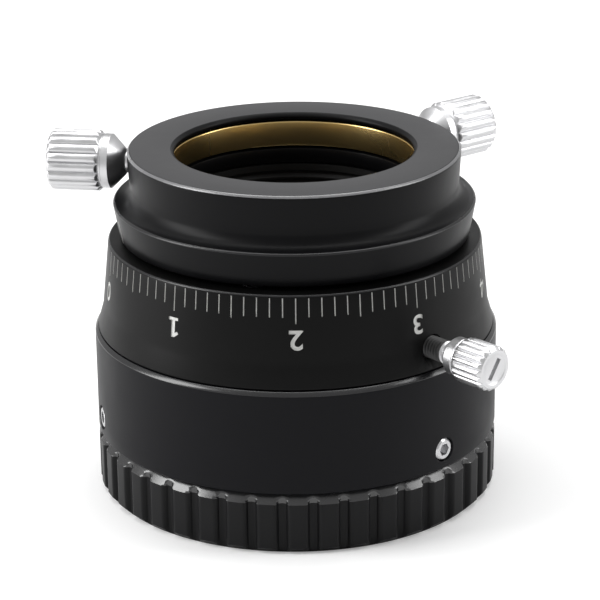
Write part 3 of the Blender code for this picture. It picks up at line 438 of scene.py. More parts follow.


# Base ring: black anodised like the adapter but finely blasted; a lighter, shinier copy of the black
# paints a highlight on the chamfer of its upper edge. Three grub screws in it grip the adapter's
# groove; its neck carries the drum.
BASE_RADIUS = 27.3 * MM
BASE_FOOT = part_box("base_housing")[0][2]
NECK_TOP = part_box("base_housing")[1][2]
BASE_TOP = BASE_FOOT + 14.1 * MM
BASE_EDGE_CHAMFER = 0.45 * MM
BASE_FOOT_CHAMFER = 0.2 * MM
BASE_SOCKET_RADIUS = 25.0 * MM
GUIDE_SEAT = 18.0 * MM
CAVITY_RADIUS = 21.7 * MM
CAVITY_ROOF = 21.3 * MM
NECK_RADIUS = 22.5 * MM
NECK_BORE = 20.8 * MM
NECK_CHAMFER = 0.3 * MM
SET_SCREW_ANGLES = (-45.0, 75.0, 195.0)
SET_SCREW_RADIUS = 1.5 * MM
SET_SCREW_HOLE = 1.62 * MM
HOLE_STEPS = 48
OVERSHOOT = 1.0 * MM        # how far a cutting tool stands out of the face it cuts
SLIVER = 0.0001 * MM        # edges shorter than this are closed up after a cut


def outward(angle, radius, height):
    """Matrix that puts local +Z along a line away from the optical axis."""
    turn = Matrix.Rotation(math.radians(angle), 4, "Z")
    return turn @ Matrix.Translation((radius, 0.0, height)) @ Matrix.Rotation(math.pi / 2, 4, "Y")


def add_spun(form, points, place, steps):
    """Solid turned about local Z, moved into place and added to a bmesh."""
    shape = spun(points, steps, False)
    bmesh.ops.transform(shape, matrix=place, verts=shape.verts)
    scrap = bpy.data.meshes.new("scrap")
    shape.to_mesh(scrap)
    shape.free()
    form.from_mesh(scrap)
    bpy.data.meshes.remove(scrap)


def carve(piece, tool_form, operation="DIFFERENCE", paint=0, sharp=32.0):
    """Cut or join with a tool shape; cut faces take the piece's material of that number."""
    mesh = bpy.data.meshes.new("tool")
    tool_form.to_mesh(mesh)
    tool_form.free()
    for material in piece.data.materials:
        mesh.materials.append(material)
    for face in mesh.polygons:
        face.material_index = paint
    tool = bpy.data.objects.new("tool", mesh)
    bpy.context.scene.collection.objects.link(tool)
    boolean = piece.modifiers.new("carve", "BOOLEAN")
    boolean.operation = operation
    boolean.solver = "EXACT"
    boolean.object = tool
    bpy.context.view_layer.update()
    carved = piece.evaluated_get(bpy.context.evaluated_depsgraph_get())
    result = bpy.data.meshes.new_from_object(carved)
    piece.modifiers.clear()
    piece.data = result
    bpy.data.objects.remove(tool)
    mended = bmesh.new()
    mended.from_mesh(result)
    bmesh.ops.dissolve_degenerate(mended, dist=SLIVER, edges=mended.edges)
    mended.to_mesh(result)
    mended.free()
    result.shade_smooth()
    result.set_sharp_from_angle(angle=math.radians(sharp))


def drilled(radius, mouth, depth):
    """Profile of a drilled hole with a small countersink at the wall's face, local zero."""
    return [(0.0, OVERSHOOT), (radius + mouth + OVERSHOOT, OVERSHOOT), (radius, -mouth),
            (radius, -depth), (0.0, -depth)]


fine_black = black_anodised("fine_black", (0.0045, 0.0045, 0.0058), 0.40, 0.15, 0.12)
base_profile = [
    (NECK_RADIUS - NECK_CHAMFER, NECK_TOP),
    (NECK_RADIUS, NECK_TOP - NECK_CHAMFER),
    (NECK_RADIUS, BASE_TOP),
    (BASE_RADIUS - BASE_EDGE_CHAMFER, BASE_TOP),
    (BASE_RADIUS, BASE_TOP - BASE_EDGE_CHAMFER),
    *line((BASE_RADIUS, BASE_TOP - 1.0 * MM), (BASE_RADIUS, BASE_FOOT + 0.25 * MM), 8),
    (BASE_RADIUS, BASE_FOOT + BASE_FOOT_CHAMFER),
    (BASE_RADIUS - BASE_FOOT_CHAMFER, BASE_FOOT),
    (BASE_SOCKET_RADIUS, BASE_FOOT),
    (BASE_SOCKET_RADIUS, GUIDE_SEAT),
    (CAVITY_RADIUS, GUIDE_SEAT),
    (CAVITY_RADIUS, CAVITY_ROOF),
    (NECK_BORE, CAVITY_ROOF),
    (NECK_BORE, NECK_TOP),
]
base_form = spun(base_profile)
ease_edges(base_form, EDGE_RADIUS)
# The base's top chamfer takes a painted highlight copy of the black.
band_paint(base_form, BASE_TOP - 0.55 * MM, BASE_TOP - 0.03 * MM, BASE_RADIUS - 0.6 * MM, EDGE)
base_ring = made(base_form, "base_ring", fine_black, edge_highlight_black)
holes = bmesh.new()
for angle in SET_SCREW_ANGLES:
    add_spun(holes, drilled(SET_SCREW_HOLE, 0.15 * MM, 4.0 * MM),
             outward(angle, BASE_RADIUS, V_GROOVE_HEIGHT), HOLE_STEPS)
carve(base_ring, holes)
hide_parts("base_housing")
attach(base_ring, "base")


# Grub screws of the base: short bright-plated steel set screws with a hexagon socket,
# screwed in flush, their cone points in the groove of the adapter's spigot.
SCREW_STEPS = 64
M3_PITCH = 0.5 * MM
SET_SCREW_CONE = 1.0 * MM
SET_SCREW_POINT = 0.5 * MM
SET_SCREW_SOCKET = (1.5 * MM, 1.3 * MM)      # across the flats, depth


def bright_metal(name, colour, roughness, marks_depth):
    """Turned and plated metal; tool marks follow each piece's own axis."""
    material, tree, shader, place = new_material(name)
    shader.inputs["Metallic"].default_value = 1.0
    own_axis = tree.nodes.new("ShaderNodeAttribute")
    own_axis.attribute_name = "along"
    marks = group_node(tree, turning_marks)
    tree.links.new(own_axis.outputs["Fac"], marks.inputs["Distance"])
    marks.inputs["Rings per metre"].default_value = SMALL_LATHE_RINGS
    cloud = noise_node(tree, place, 420.0, 3.0)
    dark = tuple(channel * 0.9 for channel in colour)
    tree.links.new(ramp(tree, cloud, dark, colour), shader.inputs["Base Color"])
    tree.links.new(spread(tree, cloud, roughness - 0.05, roughness + 0.07), shader.inputs["Roughness"])
    relief(tree, shader, marks.outputs["Marks"], marks_depth)
    return material


def mark_along(form):
    """Store radius plus height about the local axis, for the tool marks."""
    layer = form.verts.layers.float.new("along")
    for corner in form.verts:
        corner[layer] = math.hypot(corner.co.x, corner.co.y) + corner.co.z


def hex_recess(across_flats, depth, face):
    """Hexagon prism that cuts a socket into an end face."""
    tool = bmesh.new()
    radius = across_flats / math.sqrt(3)
    bmesh.ops.create_cone(tool, cap_ends=True, segments=6, radius1=radius, radius2=radius,
                          depth=2 * depth, matrix=Matrix.Translation((0.0, 0.0, face)))
    return tool


def socket_screw(name, points, place, across_flats, depth, face, material):
    """Small turned screw with a hexagon socket in its end, moved into place."""
    form = spun(points, SCREW_STEPS, False)
    mark_along(form)
    piece = made(form, name, material)
    carve(piece, hex_recess(across_flats, depth, face))
    piece.data.transform(place)
    return piece


plated_steel = bright_metal("plated_steel", (0.66, 0.66, 0.67), 0.26, 0.0008 * MM)
set_screw_start = SPIGOT_RADIUS - 0.3 * MM
set_screw_length = BASE_RADIUS - set_screw_start - 0.1 * MM
set_screw_profile = [
    (0.0, set_screw_length),
    (SET_SCREW_RADIUS - 0.25 * MM, set_screw_length),
    (SET_SCREW_RADIUS, set_screw_length - 0.2 * MM),
    *thread_teeth(SET_SCREW_RADIUS, SET_SCREW_RADIUS - 0.2 * MM, set_screw_length - 0.3 * MM,
                  SET_SCREW_CONE + 0.1 * MM, M3_PITCH),
    (SET_SCREW_RADIUS, SET_SCREW_CONE),
    (SET_SCREW_POINT, 0.0),
    (0.0, 0.0),
]
for number, angle in enumerate(SET_SCREW_ANGLES, 1):
    grub = socket_screw(f"grub_screw_{number}", set_screw_profile,
                        outward(angle, set_screw_start, V_GROOVE_HEIGHT),
                        *SET_SCREW_SOCKET, set_screw_length, plated_steel)
    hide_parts(f"base_set_screw_{number}")
    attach(grub, "base")


# Guide ring: bare aluminium ring inside the base, whose three lugs run in the drawtube's
# keyways. It can be seen from the telescope's side, past the adapter's web.
GUIDE_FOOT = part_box("guide_ring")[0][2]
GUIDE_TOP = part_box("guide_ring")[1][2]
GUIDE_BORE = 17.85 * MM
GUIDE_RADIUS = 24.7 * MM
LUG_TIP = 17.05 * MM
LUG_WIDTH = 3.4 * MM
LUG_LENGTH = 4.0 * MM
LUG_STEP = 0.1 * MM         # how far the lugs stand back from the ring's two faces
LUG_ANGLES = (90.0, 210.0, 330.0)
BARE_METAL_RELIEF = 0.0004 * MM


def blocks(size, radius, height, angles):
    """The same box at several angles round the axis."""
    form = bmesh.new()
    for angle in angles:
        turn = Matrix.Rotation(math.radians(angle), 4, "Z") @ Matrix.Translation((radius, 0.0, height))
        bmesh.ops.create_cube(form, size=1.0, matrix=turn @ Matrix.Diagonal((*size, 1.0)))
    return form


def bare_metal(name, colour, roughness):
    """Bare turned metal with rings round the optical axis."""
    material, tree, shader, place = new_material(name)
    shader.inputs["Metallic"].default_value = 1.0
    marks = group_node(tree, turning_marks)
    tree.links.new(turned_distance(tree, place), marks.inputs["Distance"])
    cloud = noise_node(tree, place, 110.0, 0.0)
    dark = tuple(channel * 0.93 for channel in colour)
    tree.links.new(ramp(tree, cloud, dark, colour), shader.inputs["Base Color"])
    tree.links.new(spread(tree, cloud, roughness - 0.02, roughness + 0.03), shader.inputs["Roughness"])
    relief(tree, shader, marks.outputs["Marks"], BARE_METAL_RELIEF)
    return material


turned_aluminium = bare_metal("turned_aluminium", (0.62, 0.62, 0.64), 0.36)
guide_form = spun([(GUIDE_RADIUS, GUIDE_TOP), (GUIDE_RADIUS, GUIDE_FOOT), (GUIDE_BORE, GUIDE_FOOT),
                   (GUIDE_BORE, GUIDE_TOP)])
guide = made(guide_form, "keyed_guide", turned_aluminium)
carve(guide, blocks((LUG_LENGTH, LUG_WIDTH, GUIDE_TOP - GUIDE_FOOT - 2 * LUG_STEP),
                    LUG_TIP + LUG_LENGTH / 2, (GUIDE_FOOT + GUIDE_TOP) / 2, LUG_ANGLES), "UNION")
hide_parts("guide_ring")
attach(guide, "base")


# Scale drum: black anodised cone with a flared skirt. Its scale is engraved after
# anodising and filled with white paint: ten divisions to a number, one number to a
# millimetre of travel, the numbers upside down so that they read from the eyepiece.
DRUM_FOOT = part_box("scale_drum")[0][2]
DRUM_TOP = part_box("scale_drum")[1][2]
DRUM_TOP_RADIUS = 25.1 * MM
DRUM_WAIST_RADIUS = 26.1 * MM
DRUM_WAIST = DRUM_FOOT + 2.5 * MM
DRUM_SKIRT_RADIUS = 26.8 * MM
SKIRT_DROP = 0.12 * MM
SKIRT_THICKNESS = 0.6 * MM
DRUM_EDGE_CHAMFER = 0.2 * MM
DRUM_BORE = 22.8 * MM
RABBET_RADIUS = DRUM_BORE + 2.2 * MM
RABBET_DEPTH = 0.7 * MM
DRUM_LIP_RADIUS = 19.0 * MM
DRUM_LIP_FOOT = DRUM_TOP - 1.3 * MM
NUMBER_COUNT = 9
DIVISIONS = 10
LAST_DIVISION = 85          # the scale ends half a number past the eight
DEGREES_PER_NUMBER = 37.5
ZERO_ANGLE = -165.0
TICK_TOP = DRUM_TOP - 0.35 * MM
TICK_LENGTHS = {0: 3.3 * MM, 5: 2.9 * MM}
SHORT_TICK = 2.5 * MM
TICK_WIDTH = 0.14 * MM
ENGRAVING_DEPTH = 0.10 * MM
NUMBER_HEIGHT = 2.6 * MM
NUMBER_WIDENING = 1.08
NUMBER_MIDDLE = 29.0 * MM
FONT_BOLDNESS = 0.02        # added all round a stroke, as a share of the font's size
FONT_SMOOTHNESS = 4
FONT_WELD = 0.0001
LOCK_ANGLE = -47.5
LOCK_HEIGHT = 25.4 * MM
THUMB_HOLE = 1.62 * MM
DRUM_SCREW_ANGLES = (15.0, 135.0, 255.0)
DRUM_SCREW_CIRCLE = 20.9 * MM
DRUM_SCREW_HEAD = 1.6 * MM
DRUM_SCREW_HEAD_HEIGHT = 1.0 * MM
DRUM_SCREW_SHANK = 1.0 * MM
DRUM_SCREW_LENGTH = 3.2 * MM
DRUM_SCREW_SOCKET = (1.1 * MM, 0.7 * MM)

drum_slope = (DRUM_WAIST_RADIUS - DRUM_TOP_RADIUS) / (DRUM_TOP - DRUM_WAIST)


def drum_radius(height):
    """Radius of the drum's conical face at a height."""
    return DRUM_TOP_RADIUS + (DRUM_TOP - height) * drum_slope


def add_tick(form, angle, length):
    """Box that stands in the cone's face along its slope."""
    middle = TICK_TOP - length / 2
    turn = Matrix.Rotation(math.radians(angle), 4, "Z")
    lean = Matrix.Rotation(-math.atan(drum_slope), 4, "Y")
    place = turn @ Matrix.Translation((drum_radius(middle), 0.0, middle)) @ lean
    size = Matrix.Diagonal((2 * ENGRAVING_DEPTH, TICK_WIDTH, length, 1.0))
    bmesh.ops.create_cube(form, size=1.0, matrix=place @ size)


# Outlines, one unit high, of the figures that the font can't give: a one with a foot, and a
# bold four with its hole
DRAWN_FIGURES = {
    "1": (((-0.27, 0.0), (0.27, 0.0), (0.27, 0.15), (0.10, 0.15), (0.10, 1.0), (-0.07, 1.0),
           (-0.31, 0.80), (-0.23, 0.68), (-0.10, 0.78), (-0.10, 0.15), (-0.27, 0.15)),),
    "4": (((0.11, 0.0), (0.28, 0.0), (0.28, 0.22), (0.42, 0.22), (0.42, 0.38), (0.28, 0.38),
           (0.28, 1.0), (0.08, 1.0), (-0.36, 0.38), (-0.36, 0.22), (0.11, 0.22)),
          ((-0.176, 0.38), (0.11, 0.38), (0.11, 0.783))),
}


def drawn_figure(outlines):
    """Slab one unit thick between an outer outline and its holes."""
    shape = bmesh.new()
    edges = []
    for outline in outlines:
        corners = [shape.verts.new((x, y, -0.5)) for x, y in outline]
        edges += [shape.edges.new(pair) for pair in zip(corners, corners[1:] + corners[:1])]
    bmesh.ops.triangle_fill(shape, use_beauty=True, edges=edges)
    raised = bmesh.ops.extrude_face_region(shape, geom=shape.faces[:])["geom"]
    for item in raised:
        if isinstance(item, bmesh.types.BMVert):
            item.co.z = 0.5
    solid = bpy.data.meshes.new("figure")
    shape.to_mesh(solid)
    shape.free()
    return solid


def font_figure(text):
    """Bold figure of the font as a slab one unit thick."""
    curve = bpy.data.curves.new("figure", "FONT")
    curve.body = text
    curve.extrude = 0.5
    curve.offset = FONT_BOLDNESS
    curve.resolution_u = FONT_SMOOTHNESS
    figure = bpy.data.objects.new("figure", curve)
    bpy.context.scene.collection.objects.link(figure)
    bpy.context.view_layer.update()
    solid = bpy.data.meshes.new_from_object(figure.evaluated_get(bpy.context.evaluated_depsgraph_get()))
    bpy.data.objects.remove(figure)
    return solid


def add_number(form, text, angle):
    """Solid figure wrapped on the cone, its feet towards the eyepiece."""
    solid = drawn_figure(DRAWN_FIGURES[text]) if text in DRAWN_FIGURES else font_figure(text)
    shape = bmesh.new()
    shape.from_mesh(solid)
    bmesh.ops.remove_doubles(shape, verts=shape.verts, dist=FONT_WELD)
    bmesh.ops.triangulate(shape, faces=shape.faces)
    low = Vector([min(corner.co[axis] for corner in shape.verts) for axis in range(3)])
    high = Vector([max(corner.co[axis] for corner in shape.verts) for axis in range(3)])
    scale = NUMBER_HEIGHT / (high.y - low.y)
    centre = (low + high) / 2
    for corner in shape.verts:
        across = (corner.co.x - centre.x) * scale * NUMBER_WIDENING
        rise = NUMBER_MIDDLE - (corner.co.y - centre.y) * scale
        radius = drum_radius(rise) + (corner.co.z - centre.z) * 2 * ENGRAVING_DEPTH
        turn = math.radians(angle) - across / radius
        corner.co = (radius * math.cos(turn), radius * math.sin(turn), rise)
    shape.normal_update()
    bmesh.ops.recalc_face_normals(shape, faces=shape.faces)
    shape.to_mesh(solid)
    shape.free()
    form.from_mesh(solid)
    bpy.data.meshes.remove(solid)


def paint_fill(name, colour):
    """Slightly uneven enamel wiped into engraving."""
    material, tree, shader, place = new_material(name)
    patch = noise_node(tree, place, 2500.0, 4.0)
    dull = tuple(channel * 0.72 for channel in colour)
    tree.links.new(ramp(tree, patch, dull, colour), shader.inputs["Base Color"])
    tree.links.new(spread(tree, patch, 0.45, 0.6), shader.inputs["Roughness"])
    relief(tree, shader, patch, 0.01 * MM)
    return material


def drum_screw_seat(angle):
    """Matrix of a lip screw's place in the drum's upper face."""
    turn = Matrix.Rotation(math.radians(angle), 4, "Z")
    return turn @ Matrix.Translation((DRUM_SCREW_CIRCLE, 0.0, DRUM_TOP))


drum_black = black_anodised("drum_black", (0.003, 0.003, 0.003), 0.40, 0.25, 0.12)
white_fill = paint_fill("white_fill", (0.74, 0.74, 0.72))
drum_profile = [
    (DRUM_TOP_RADIUS - DRUM_EDGE_CHAMFER, DRUM_TOP),
    (DRUM_TOP_RADIUS, DRUM_TOP - DRUM_EDGE_CHAMFER),
    *line((drum_radius(TICK_TOP), TICK_TOP), (DRUM_WAIST_RADIUS, DRUM_WAIST), 10),
    (DRUM_WAIST_RADIUS, DRUM_WAIST),
    (DRUM_SKIRT_RADIUS, DRUM_FOOT + 0.1 * MM),
    (DRUM_SKIRT_RADIUS, DRUM_FOOT - SKIRT_DROP),
    (DRUM_SKIRT_RADIUS - SKIRT_THICKNESS, DRUM_FOOT - SKIRT_DROP),
    (DRUM_SKIRT_RADIUS - SKIRT_THICKNESS - 0.1 * MM, DRUM_FOOT),
    (RABBET_RADIUS, DRUM_FOOT),
    (RABBET_RADIUS, DRUM_FOOT + RABBET_DEPTH),
    (DRUM_BORE, DRUM_FOOT + RABBET_DEPTH),
    (DRUM_BORE, DRUM_LIP_FOOT),
    (DRUM_LIP_RADIUS, DRUM_LIP_FOOT),
    (DRUM_LIP_RADIUS, DRUM_TOP),
]
countersink_radius = DRUM_SCREW_HEAD + 0.15 * MM
shank_hole = DRUM_SCREW_SHANK + 0.1 * MM
countersink = [
    (0.0, OVERSHOOT),
    (countersink_radius, OVERSHOOT),
    (countersink_radius, -0.15 * MM),
    (shank_hole, -DRUM_SCREW_HEAD_HEIGHT),
    (shank_hole, -4.0 * MM),
    (0.0, -4.0 * MM),
]
drum_form = spun(drum_profile)
ease_edges(drum_form, 0.08 * MM)
# The drum's top edge takes a painted highlight copy of the black.
band_paint(drum_form, DRUM_TOP - 0.22 * MM, DRUM_TOP - 0.02 * MM, DRUM_TOP_RADIUS - 0.4 * MM, EDGE)
drum = made(drum_form, "scale_cone", drum_black, dim_edge_highlight, white_fill)
engraving = bmesh.new()
for division in range(LAST_DIVISION + 1):
    tick_angle = ZERO_ANGLE + DEGREES_PER_NUMBER * division / DIVISIONS
    add_tick(engraving, tick_angle, TICK_LENGTHS.get(division % DIVISIONS, SHORT_TICK))
carve(drum, engraving, paint=WHITE)
figures = bmesh.new()
for number in range(NUMBER_COUNT):
    add_number(figures, str(number), ZERO_ANGLE + DEGREES_PER_NUMBER * number)
carve(drum, figures, paint=WHITE)
drum_holes = bmesh.new()
add_spun(drum_holes, drilled(THUMB_HOLE, 0.3 * MM, 6.0 * MM),
         outward(LOCK_ANGLE, drum_radius(LOCK_HEIGHT), LOCK_HEIGHT), HOLE_STEPS)
for angle in DRUM_SCREW_ANGLES:
    add_spun(drum_holes, countersink, drum_screw_seat(angle), HOLE_STEPS)
carve(drum, drum_holes)
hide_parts("scale_drum")
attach(drum, "focus")

# Lip screws: three small countersunk steel screws with a hexagon socket, which hold the
# drum's lip down on the flange of the nut.
drum_screw_profile = [
    (0.0, 0.0),
    (DRUM_SCREW_HEAD - 0.1 * MM, 0.0),
    (DRUM_SCREW_HEAD, -0.1 * MM),
    (DRUM_SCREW_SHANK, -DRUM_SCREW_HEAD_HEIGHT),
    (DRUM_SCREW_SHANK, -DRUM_SCREW_LENGTH),
    (0.0, -DRUM_SCREW_LENGTH),
]
for number, angle in enumerate(DRUM_SCREW_ANGLES, 1):
    lip_screw = socket_screw(f"lip_screw_{number}", drum_screw_profile, drum_screw_seat(angle),
                             *DRUM_SCREW_SOCKET, 0.0, plated_steel)
    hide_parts(f"drum_screw_{number}")
    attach(lip_screw, "focus")


# Drawtube: thin black anodised tube. Outside it has the three-start helicoid thread and
# three keyways; inside, fine grooves along the whole bore keep stray light down.
TUBE_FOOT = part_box("drawtube")[0][2]
TUBE_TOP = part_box("drawtube")[1][2]
TUBE_RADIUS = 17.55 * MM
TUBE_BORE = 15.95 * MM
TUBE_CHAMFER = 0.3 * MM
TUBE_STEPS = 192
BAFFLE_ROOT = 16.35 * MM
BAFFLE_PITCH = 1.2 * MM
BAFFLE_INSET = 0.8 * MM
THREAD_RADIUS = 18.4 * MM
THREAD_LEAD = 9.6 * MM
THREAD_STARTS = 3
THREAD_OFFSET = 0.75 * MM   # part of the lead that sets the angle of the first start
THREAD_FOOT = 19.95 * MM
THREAD_TOP = 31.45 * MM
THREAD_OVERLAP = 0.3 * MM   # how deep the thread's root is sunk in the tube
THREAD_HALF_ROOT = 0.85 * MM
THREAD_HALF_CREST = 0.45 * MM
THREAD_STEPS_PER_TURN = 96
KEYWAY_WIDTH = 4.0 * MM
KEYWAY_LENGTH = 14.0 * MM
KEYWAY_TOP = 18.3 * MM
KEYWAY_DEPTH = 0.8 * MM


def sweep(form, section, first, angle, steps, climb=0.0):
    """Cross-section of (radius, height) points carried round the axis, with closed ends."""
    corners = [form.verts.new((radius * math.cos(first), radius * math.sin(first), height))
               for radius, height in section]
    loop = [form.edges.new(pair) for pair in zip(corners, corners[1:] + corners[:1])]
    swept = bmesh.ops.spin(form, geom=corners + loop, cent=(0.0, 0.0, 0.0), axis=(0.0, 0.0, 1.0),
                           dvec=(0.0, 0.0, climb / steps), angle=angle, steps=steps)
    last = [item for item in swept["geom_last"] if isinstance(item, bmesh.types.BMEdge)]
    bmesh.ops.edgeloop_fill(form, edges=loop)
    bmesh.ops.edgeloop_fill(form, edges=last)


bore_black = black_anodised("bore_black", (0.008, 0.008, 0.008), 0.62, 0.2)
tube_profile = [
    (TUBE_RADIUS, TUBE_TOP),
    (TUBE_RADIUS, TUBE_FOOT + TUBE_CHAMFER),
    (TUBE_RADIUS - TUBE_CHAMFER, TUBE_FOOT),
    (TUBE_BORE + TUBE_CHAMFER, TUBE_FOOT),
    *thread_teeth(TUBE_BORE, BAFFLE_ROOT, TUBE_FOOT + BAFFLE_INSET, TUBE_TOP - BAFFLE_INSET,
                  BAFFLE_PITCH),
    (TUBE_BORE, TUBE_TOP),
]
tube = made(spun(tube_profile, TUBE_STEPS), "threaded_tube", bore_black)
helix = bmesh.new()
helix_climb = THREAD_TOP - THREAD_FOOT
helix_turns = helix_climb / THREAD_LEAD
helix_section = [
    (TUBE_RADIUS - THREAD_OVERLAP, THREAD_FOOT - THREAD_HALF_ROOT),
    (THREAD_RADIUS, THREAD_FOOT - THREAD_HALF_CREST),
    (THREAD_RADIUS, THREAD_FOOT + THREAD_HALF_CREST),
    (TUBE_RADIUS - THREAD_OVERLAP, THREAD_FOOT + THREAD_HALF_ROOT),
]
for start in range(THREAD_STARTS):
    sweep(helix, helix_section, math.tau * (start / THREAD_STARTS + THREAD_OFFSET / THREAD_LEAD),
          math.tau * helix_turns, round(helix_turns * THREAD_STEPS_PER_TURN), helix_climb)
bmesh.ops.recalc_face_normals(helix, faces=helix.faces)
carve(tube, helix, "UNION")
carve(tube, blocks((2 * KEYWAY_DEPTH, KEYWAY_WIDTH, KEYWAY_LENGTH), TUBE_RADIUS,
                   KEYWAY_TOP - KEYWAY_LENGTH / 2, LUG_ANGLES))
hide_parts("drawtube")
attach(tube, "draw")


# Eyepiece holder: black anodised head, turned with a flat shoulder on top, a hollow cove
# and an index flange whose white line reads the scale. Its bore is grooved for the brass ring.
HEAD_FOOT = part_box("clamp_head")[0][2]
HEAD_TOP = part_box("clamp_head")[1][2]
HEAD_RADIUS = 22.25 * MM
HEAD_EDGE_CHAMFER = 0.3 * MM
HEAD_MOUTH_CHAMFER = 0.4 * MM
HEAD_WAIST_RADIUS = 22.0 * MM
FLANGE_RADIUS = 24.3 * MM
FLANGE_FOOT_RADIUS = 23.5 * MM
FLANGE_TOP = HEAD_FOOT + 4.6 * MM
FLANGE_EDGE_CHAMFER = 0.2 * MM
COVE_HEIGHT = 1.8 * MM
COVE_POINTS = 10
HEAD_SOCKET_RADIUS = 17.85 * MM
HEAD_SOCKET_ROOF = HEAD_FOOT + 4.4 * MM
CLAMP_HEIGHT = HEAD_TOP - 3.0 * MM
CLAMP_GROOVE_RADIUS = 17.6 * MM
CLAMP_GROOVE_HALF = 2.1 * MM
CLAMP_ANGLES = (171.0, 38.0)
HEAD_SCREW_ANGLE = 103.5
HEAD_SCREW_HEIGHT = HEAD_FOOT + 2.0 * MM
HEAD_SCREW_RADIUS = 1.25 * MM
HEAD_SCREW_PITCH = 0.45 * MM
HEAD_SCREW_SOCKET = (1.3 * MM, 1.2 * MM)
INDEX_ANGLE = ZERO_ANGLE
INDEX_SIZE = (0.3 * MM, 0.35 * MM, 3.4 * MM)
INDEX_HEIGHT = HEAD_FOOT + 1.5 * MM

cove_width = FLANGE_RADIUS - FLANGE_EDGE_CHAMFER - HEAD_WAIST_RADIUS
cove = []
for index in range(COVE_POINTS + 1):
    turn = math.pi / 2 * index / COVE_POINTS
    cove.append((HEAD_WAIST_RADIUS + cove_width * (1 - math.cos(turn)),
                 FLANGE_TOP + COVE_HEIGHT * (1 - math.sin(turn))))
head_profile = [
    (HEAD_RADIUS - HEAD_EDGE_CHAMFER, HEAD_TOP),
    (HEAD_RADIUS, HEAD_TOP - HEAD_EDGE_CHAMFER),
    *line((HEAD_RADIUS, HEAD_TOP - 0.6 * MM), cove[0], 5),
    *cove,
    (FLANGE_RADIUS, FLANGE_TOP - FLANGE_EDGE_CHAMFER),
    *line((FLANGE_RADIUS - 0.05 * MM, FLANGE_TOP - 0.45 * MM), (FLANGE_FOOT_RADIUS, HEAD_FOOT), 3),
    (FLANGE_FOOT_RADIUS, HEAD_FOOT),
    (HEAD_SOCKET_RADIUS, HEAD_FOOT),
    (HEAD_SOCKET_RADIUS, HEAD_SOCKET_ROOF),
    (TUBE_BORE, HEAD_SOCKET_ROOF),
    (TUBE_BORE, CLAMP_HEIGHT - CLAMP_GROOVE_HALF),
    (CLAMP_GROOVE_RADIUS, CLAMP_HEIGHT - CLAMP_GROOVE_HALF),
    (CLAMP_GROOVE_RADIUS, CLAMP_HEIGHT + CLAMP_GROOVE_HALF),
    (TUBE_BORE, CLAMP_HEIGHT + CLAMP_GROOVE_HALF),
    (TUBE_BORE, HEAD_TOP - HEAD_MOUTH_CHAMFER),
    (TUBE_BORE + HEAD_MOUTH_CHAMFER, HEAD_TOP),
]
head_form = spun(head_profile)
ease_edges(head_form, EDGE_RADIUS)
# The rim of the top face takes the painted highlight copy of the black.
band_paint(head_form, HEAD_TOP - 0.35 * MM, HEAD_TOP - 0.02 * MM, HEAD_RADIUS - 0.4 * MM, RIM)
# The flange's top edge takes a painted highlight copy of the black.
band_paint(head_form, FLANGE_TOP - 0.3 * MM, FLANGE_TOP + 0.02 * MM, FLANGE_RADIUS - 0.3 * MM, EDGE)
# The top face takes the painted light copy of the black.
band_paint(head_form, HEAD_TOP - 0.01 * MM, HEAD_TOP + 0.01 * MM, TUBE_BORE, FACE)
head_black = black_anodised("head_black", (0.003, 0.003, 0.0035), 0.36, 0.45, 0.12)
# Painted light for the top face: a lighter copy of the head's black.
face_painted_light_black = black_anodised("face_painted_light_black", (0.032, 0.032, 0.034), 0.42, 0.6, 0.4)
# Painted highlight for the rim of the top face: a far lighter, shinier copy of the head's black.
rim_highlight_black = black_anodised("rim_highlight_black", (0.15, 0.15, 0.155), 0.26, 0.5, 1.0)
head = made(head_form, "eyepiece_holder", head_black, dim_edge_highlight, white_fill, face_painted_light_black, rim_highlight_black)
index_mark = bmesh.new()
flange_lean = math.atan((FLANGE_RADIUS - FLANGE_FOOT_RADIUS) / (FLANGE_TOP - HEAD_FOOT))
index_radius = (FLANGE_RADIUS + FLANGE_FOOT_RADIUS) / 2 - 0.1 * MM
mark_place = (Matrix.Rotation(math.radians(INDEX_ANGLE), 4, "Z")
              @ Matrix.Translation((index_radius, 0.0, INDEX_HEIGHT))
              @ Matrix.Rotation(flange_lean, 4, "Y"))
bmesh.ops.create_cube(index_mark, size=1.0, matrix=mark_place @ Matrix.Diagonal((*INDEX_SIZE, 1.0)))
carve(head, index_mark, paint=WHITE)
head_holes = bmesh.new()
for angle in CLAMP_ANGLES:
    add_spun(head_holes, drilled(THUMB_HOLE, 0.25 * MM, 6.0 * MM),
             outward(angle, HEAD_RADIUS - 0.1 * MM, CLAMP_HEIGHT), HOLE_STEPS)
add_spun(head_holes, drilled(HEAD_SCREW_RADIUS + 0.1 * MM, 0.1 * MM, 7.0 * MM),
         outward(HEAD_SCREW_ANGLE, FLANGE_FOOT_RADIUS + 0.4 * MM, HEAD_SCREW_HEIGHT), HOLE_STEPS)
carve(head, head_holes)
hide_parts("clamp_head")
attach(head, "draw")

# Holder's grub screw: a small plated steel set screw in the index flange, which fixes the
# holder on the drawtube.
head_screw_length = FLANGE_FOOT_RADIUS - HEAD_SOCKET_RADIUS
head_screw_profile = [
    (0.0, head_screw_length),
    (HEAD_SCREW_RADIUS - 0.2 * MM, head_screw_length),
    (HEAD_SCREW_RADIUS, head_screw_length - 0.2 * MM),
    *thread_teeth(HEAD_SCREW_RADIUS, HEAD_SCREW_RADIUS - 0.17 * MM, head_screw_length - 0.3 * MM,
                  0.4 * MM, HEAD_SCREW_PITCH),
    (HEAD_SCREW_RADIUS - 0.25 * MM, 0.0),
    (0.0, 0.0),
]
head_screw = socket_screw("holder_grub_screw", head_screw_profile,
                          outward(HEAD_SCREW_ANGLE, HEAD_SOCKET_RADIUS, HEAD_SCREW_HEIGHT),
                          *HEAD_SCREW_SOCKET, head_screw_length, plated_steel)
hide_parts("head_set_screw")
